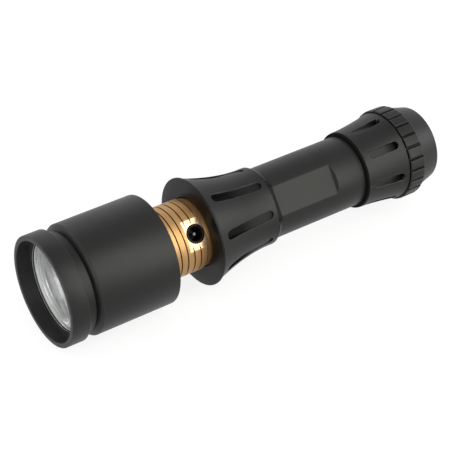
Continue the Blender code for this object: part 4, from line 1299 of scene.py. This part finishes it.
class TORCH_OT_stage(Operator):
    """Set the camera, the pale floor and the soft lights"""
    bl_idname = "torch.stage"
    bl_label = "Studio"

    def execute(self, context):
        s = settings().stage
        scene = context.scene
        right = Vector((math.cos(s.azimuth), math.sin(s.azimuth), 0))
        ahead = Vector((-math.sin(s.azimuth) * math.cos(s.elevation),
                        math.cos(s.azimuth) * math.cos(s.elevation), -math.sin(s.elevation)))
        up = right.cross(ahead)
        bezel = Vector((FRONT, 0, AXIS_Z))
        data = bpy.data.cameras.new("camera")
        data.lens = s.lens
        data.sensor_width = 36.0
        camera = bpy.data.objects.new("camera", data)
        camera.location = bezel + right * s.side + up * s.below - ahead * s.distance
        camera.rotation_euler = ahead.to_track_quat("-Z", "Y").to_euler()
        scene.collection.objects.link(camera)
        scene.camera = camera
        scene.view_settings.view_transform = "Standard"
        world = bpy.data.worlds.new("surround")
        world.use_nodes = True
        backdrop = world.node_tree.nodes["Background"]
        backdrop.inputs["Color"].default_value = (1, 1, 1, 1)
        backdrop.inputs["Strength"].default_value = s.fill
        scene.world = world
        floor_mesh = make_floor()
        floor = bpy.data.objects.new("floor", floor_mesh)
        scene.collection.objects.link(floor)
        middle = Vector((0, 0, AXIS_Z))
        strip = middle + Vector((0.30, -0.50, 0.33))
        soft_light("strip", strip, middle, (0.13, 0.9), 3.5 * s.key, (1.0, 1.0, 0.90))
        front = middle + Vector((-0.72, -0.20, 0.19))
        soft_light("front", front, middle, (0.50, 0.34), 3.4 * s.key)
        rear = middle + Vector((0.72, -0.25, 0.22))
        soft_light("rear", rear, middle, (0.36, 0.30), 1.6 * s.key)
        back = middle + Vector((0.10, 0.62, 0.20))
        soft_light("back", back, middle, (0.8, 0.16), 0.2 * s.key)
        crown = middle + Vector((-0.46, 0.50, 0.34))
        soft_light("crown", crown, middle, (0.30, 0.24), 0.8 * s.key)
        side = middle + Vector((-0.04, -0.56, 0.36))
        soft_light("side", side, middle, (0.5, 0.10), 0.9 * s.key)
        far = middle + Vector((0.0, 0.50, 0.46))
        soft_light("far", far, middle, (0.6, 0.10), 0.35 * s.key)
        return {"FINISHED"}


def make_floor():
    """A wide level floor with a pale, faintly uneven finish."""
    reach = 3.0
    points = np.array([(-reach, -reach, 0), (reach, -reach, 0), (reach, reach, 0), (-reach, reach, 0)])
    mesh = bpy.data.meshes.new("floor")
    mesh.from_pydata(points.tolist(), [], [(0, 1, 2, 3)])
    f = Finish("pale_floor", **{"Roughness": 0.9, "Emission Strength": 0.82})
    cloud = f.noise(f.coordinates(), 3.0, 2.0, 0.5)
    f.use(Base_Color=f.mix(cloud, (0.13, 0.13, 0.13), (0.14, 0.14, 0.14)),
          Emission_Color=(1.0, 1.0, 1.0, 1.0))
    mesh.materials.append(f.material)
    return mesh


OPERATORS = (
    TORCH_OT_bezel, TORCH_OT_window, TORCH_OT_reflector, TORCH_OT_barrel, TORCH_OT_neck,
    TORCH_OT_jack, TORCH_OT_handle, TORCH_OT_tail, TORCH_OT_end, TORCH_OT_button,
    TORCH_OT_springs, TORCH_OT_inside, TORCH_OT_stage,
)


class TORCH_PT_looks(Panel):
    """Lists the torch's pieces in the sidebar"""
    bl_label = "Flashlight Looks"
    bl_space_type = "VIEW_3D"
    bl_region_type = "UI"
    bl_category = "Flashlight"

    def draw(self, context):
        column = self.layout.column(align=True)
        for operator in OPERATORS:
            column.operator(operator.bl_idname)
        looks = context.scene.torch_looks
        for group in ("head", "neck", "handle", "tail", "colours", "stage"):
            box = self.layout.box()
            values = getattr(looks, group)
            box.label(text=group.capitalize())
            for name in values.bl_rna.properties.keys():
                if name not in ("rna_type", "name"):
                    box.prop(values, name)


GROUPS = (TorchHeadSizes, TorchNeckSizes, TorchHandleSizes, TorchTailSizes, TorchColours,
          TorchStage, TorchLooks)
CLASSES = GROUPS + OPERATORS + (TORCH_PT_looks,)


def register():
    for cls in CLASSES:
        bpy.utils.register_class(cls)
    bpy.types.Scene.torch_looks = PointerProperty(type=TorchLooks)


def unregister():
    del bpy.types.Scene.torch_looks
    for cls in reversed(CLASSES):
        bpy.utils.unregister_class(cls)


def main():
    """Build every piece."""
    register()
    for operator in OPERATORS:
        group, name = operator.bl_idname.split(".")
        getattr(getattr(bpy.ops, group), name)()


if __name__ == "__main__":
    main()
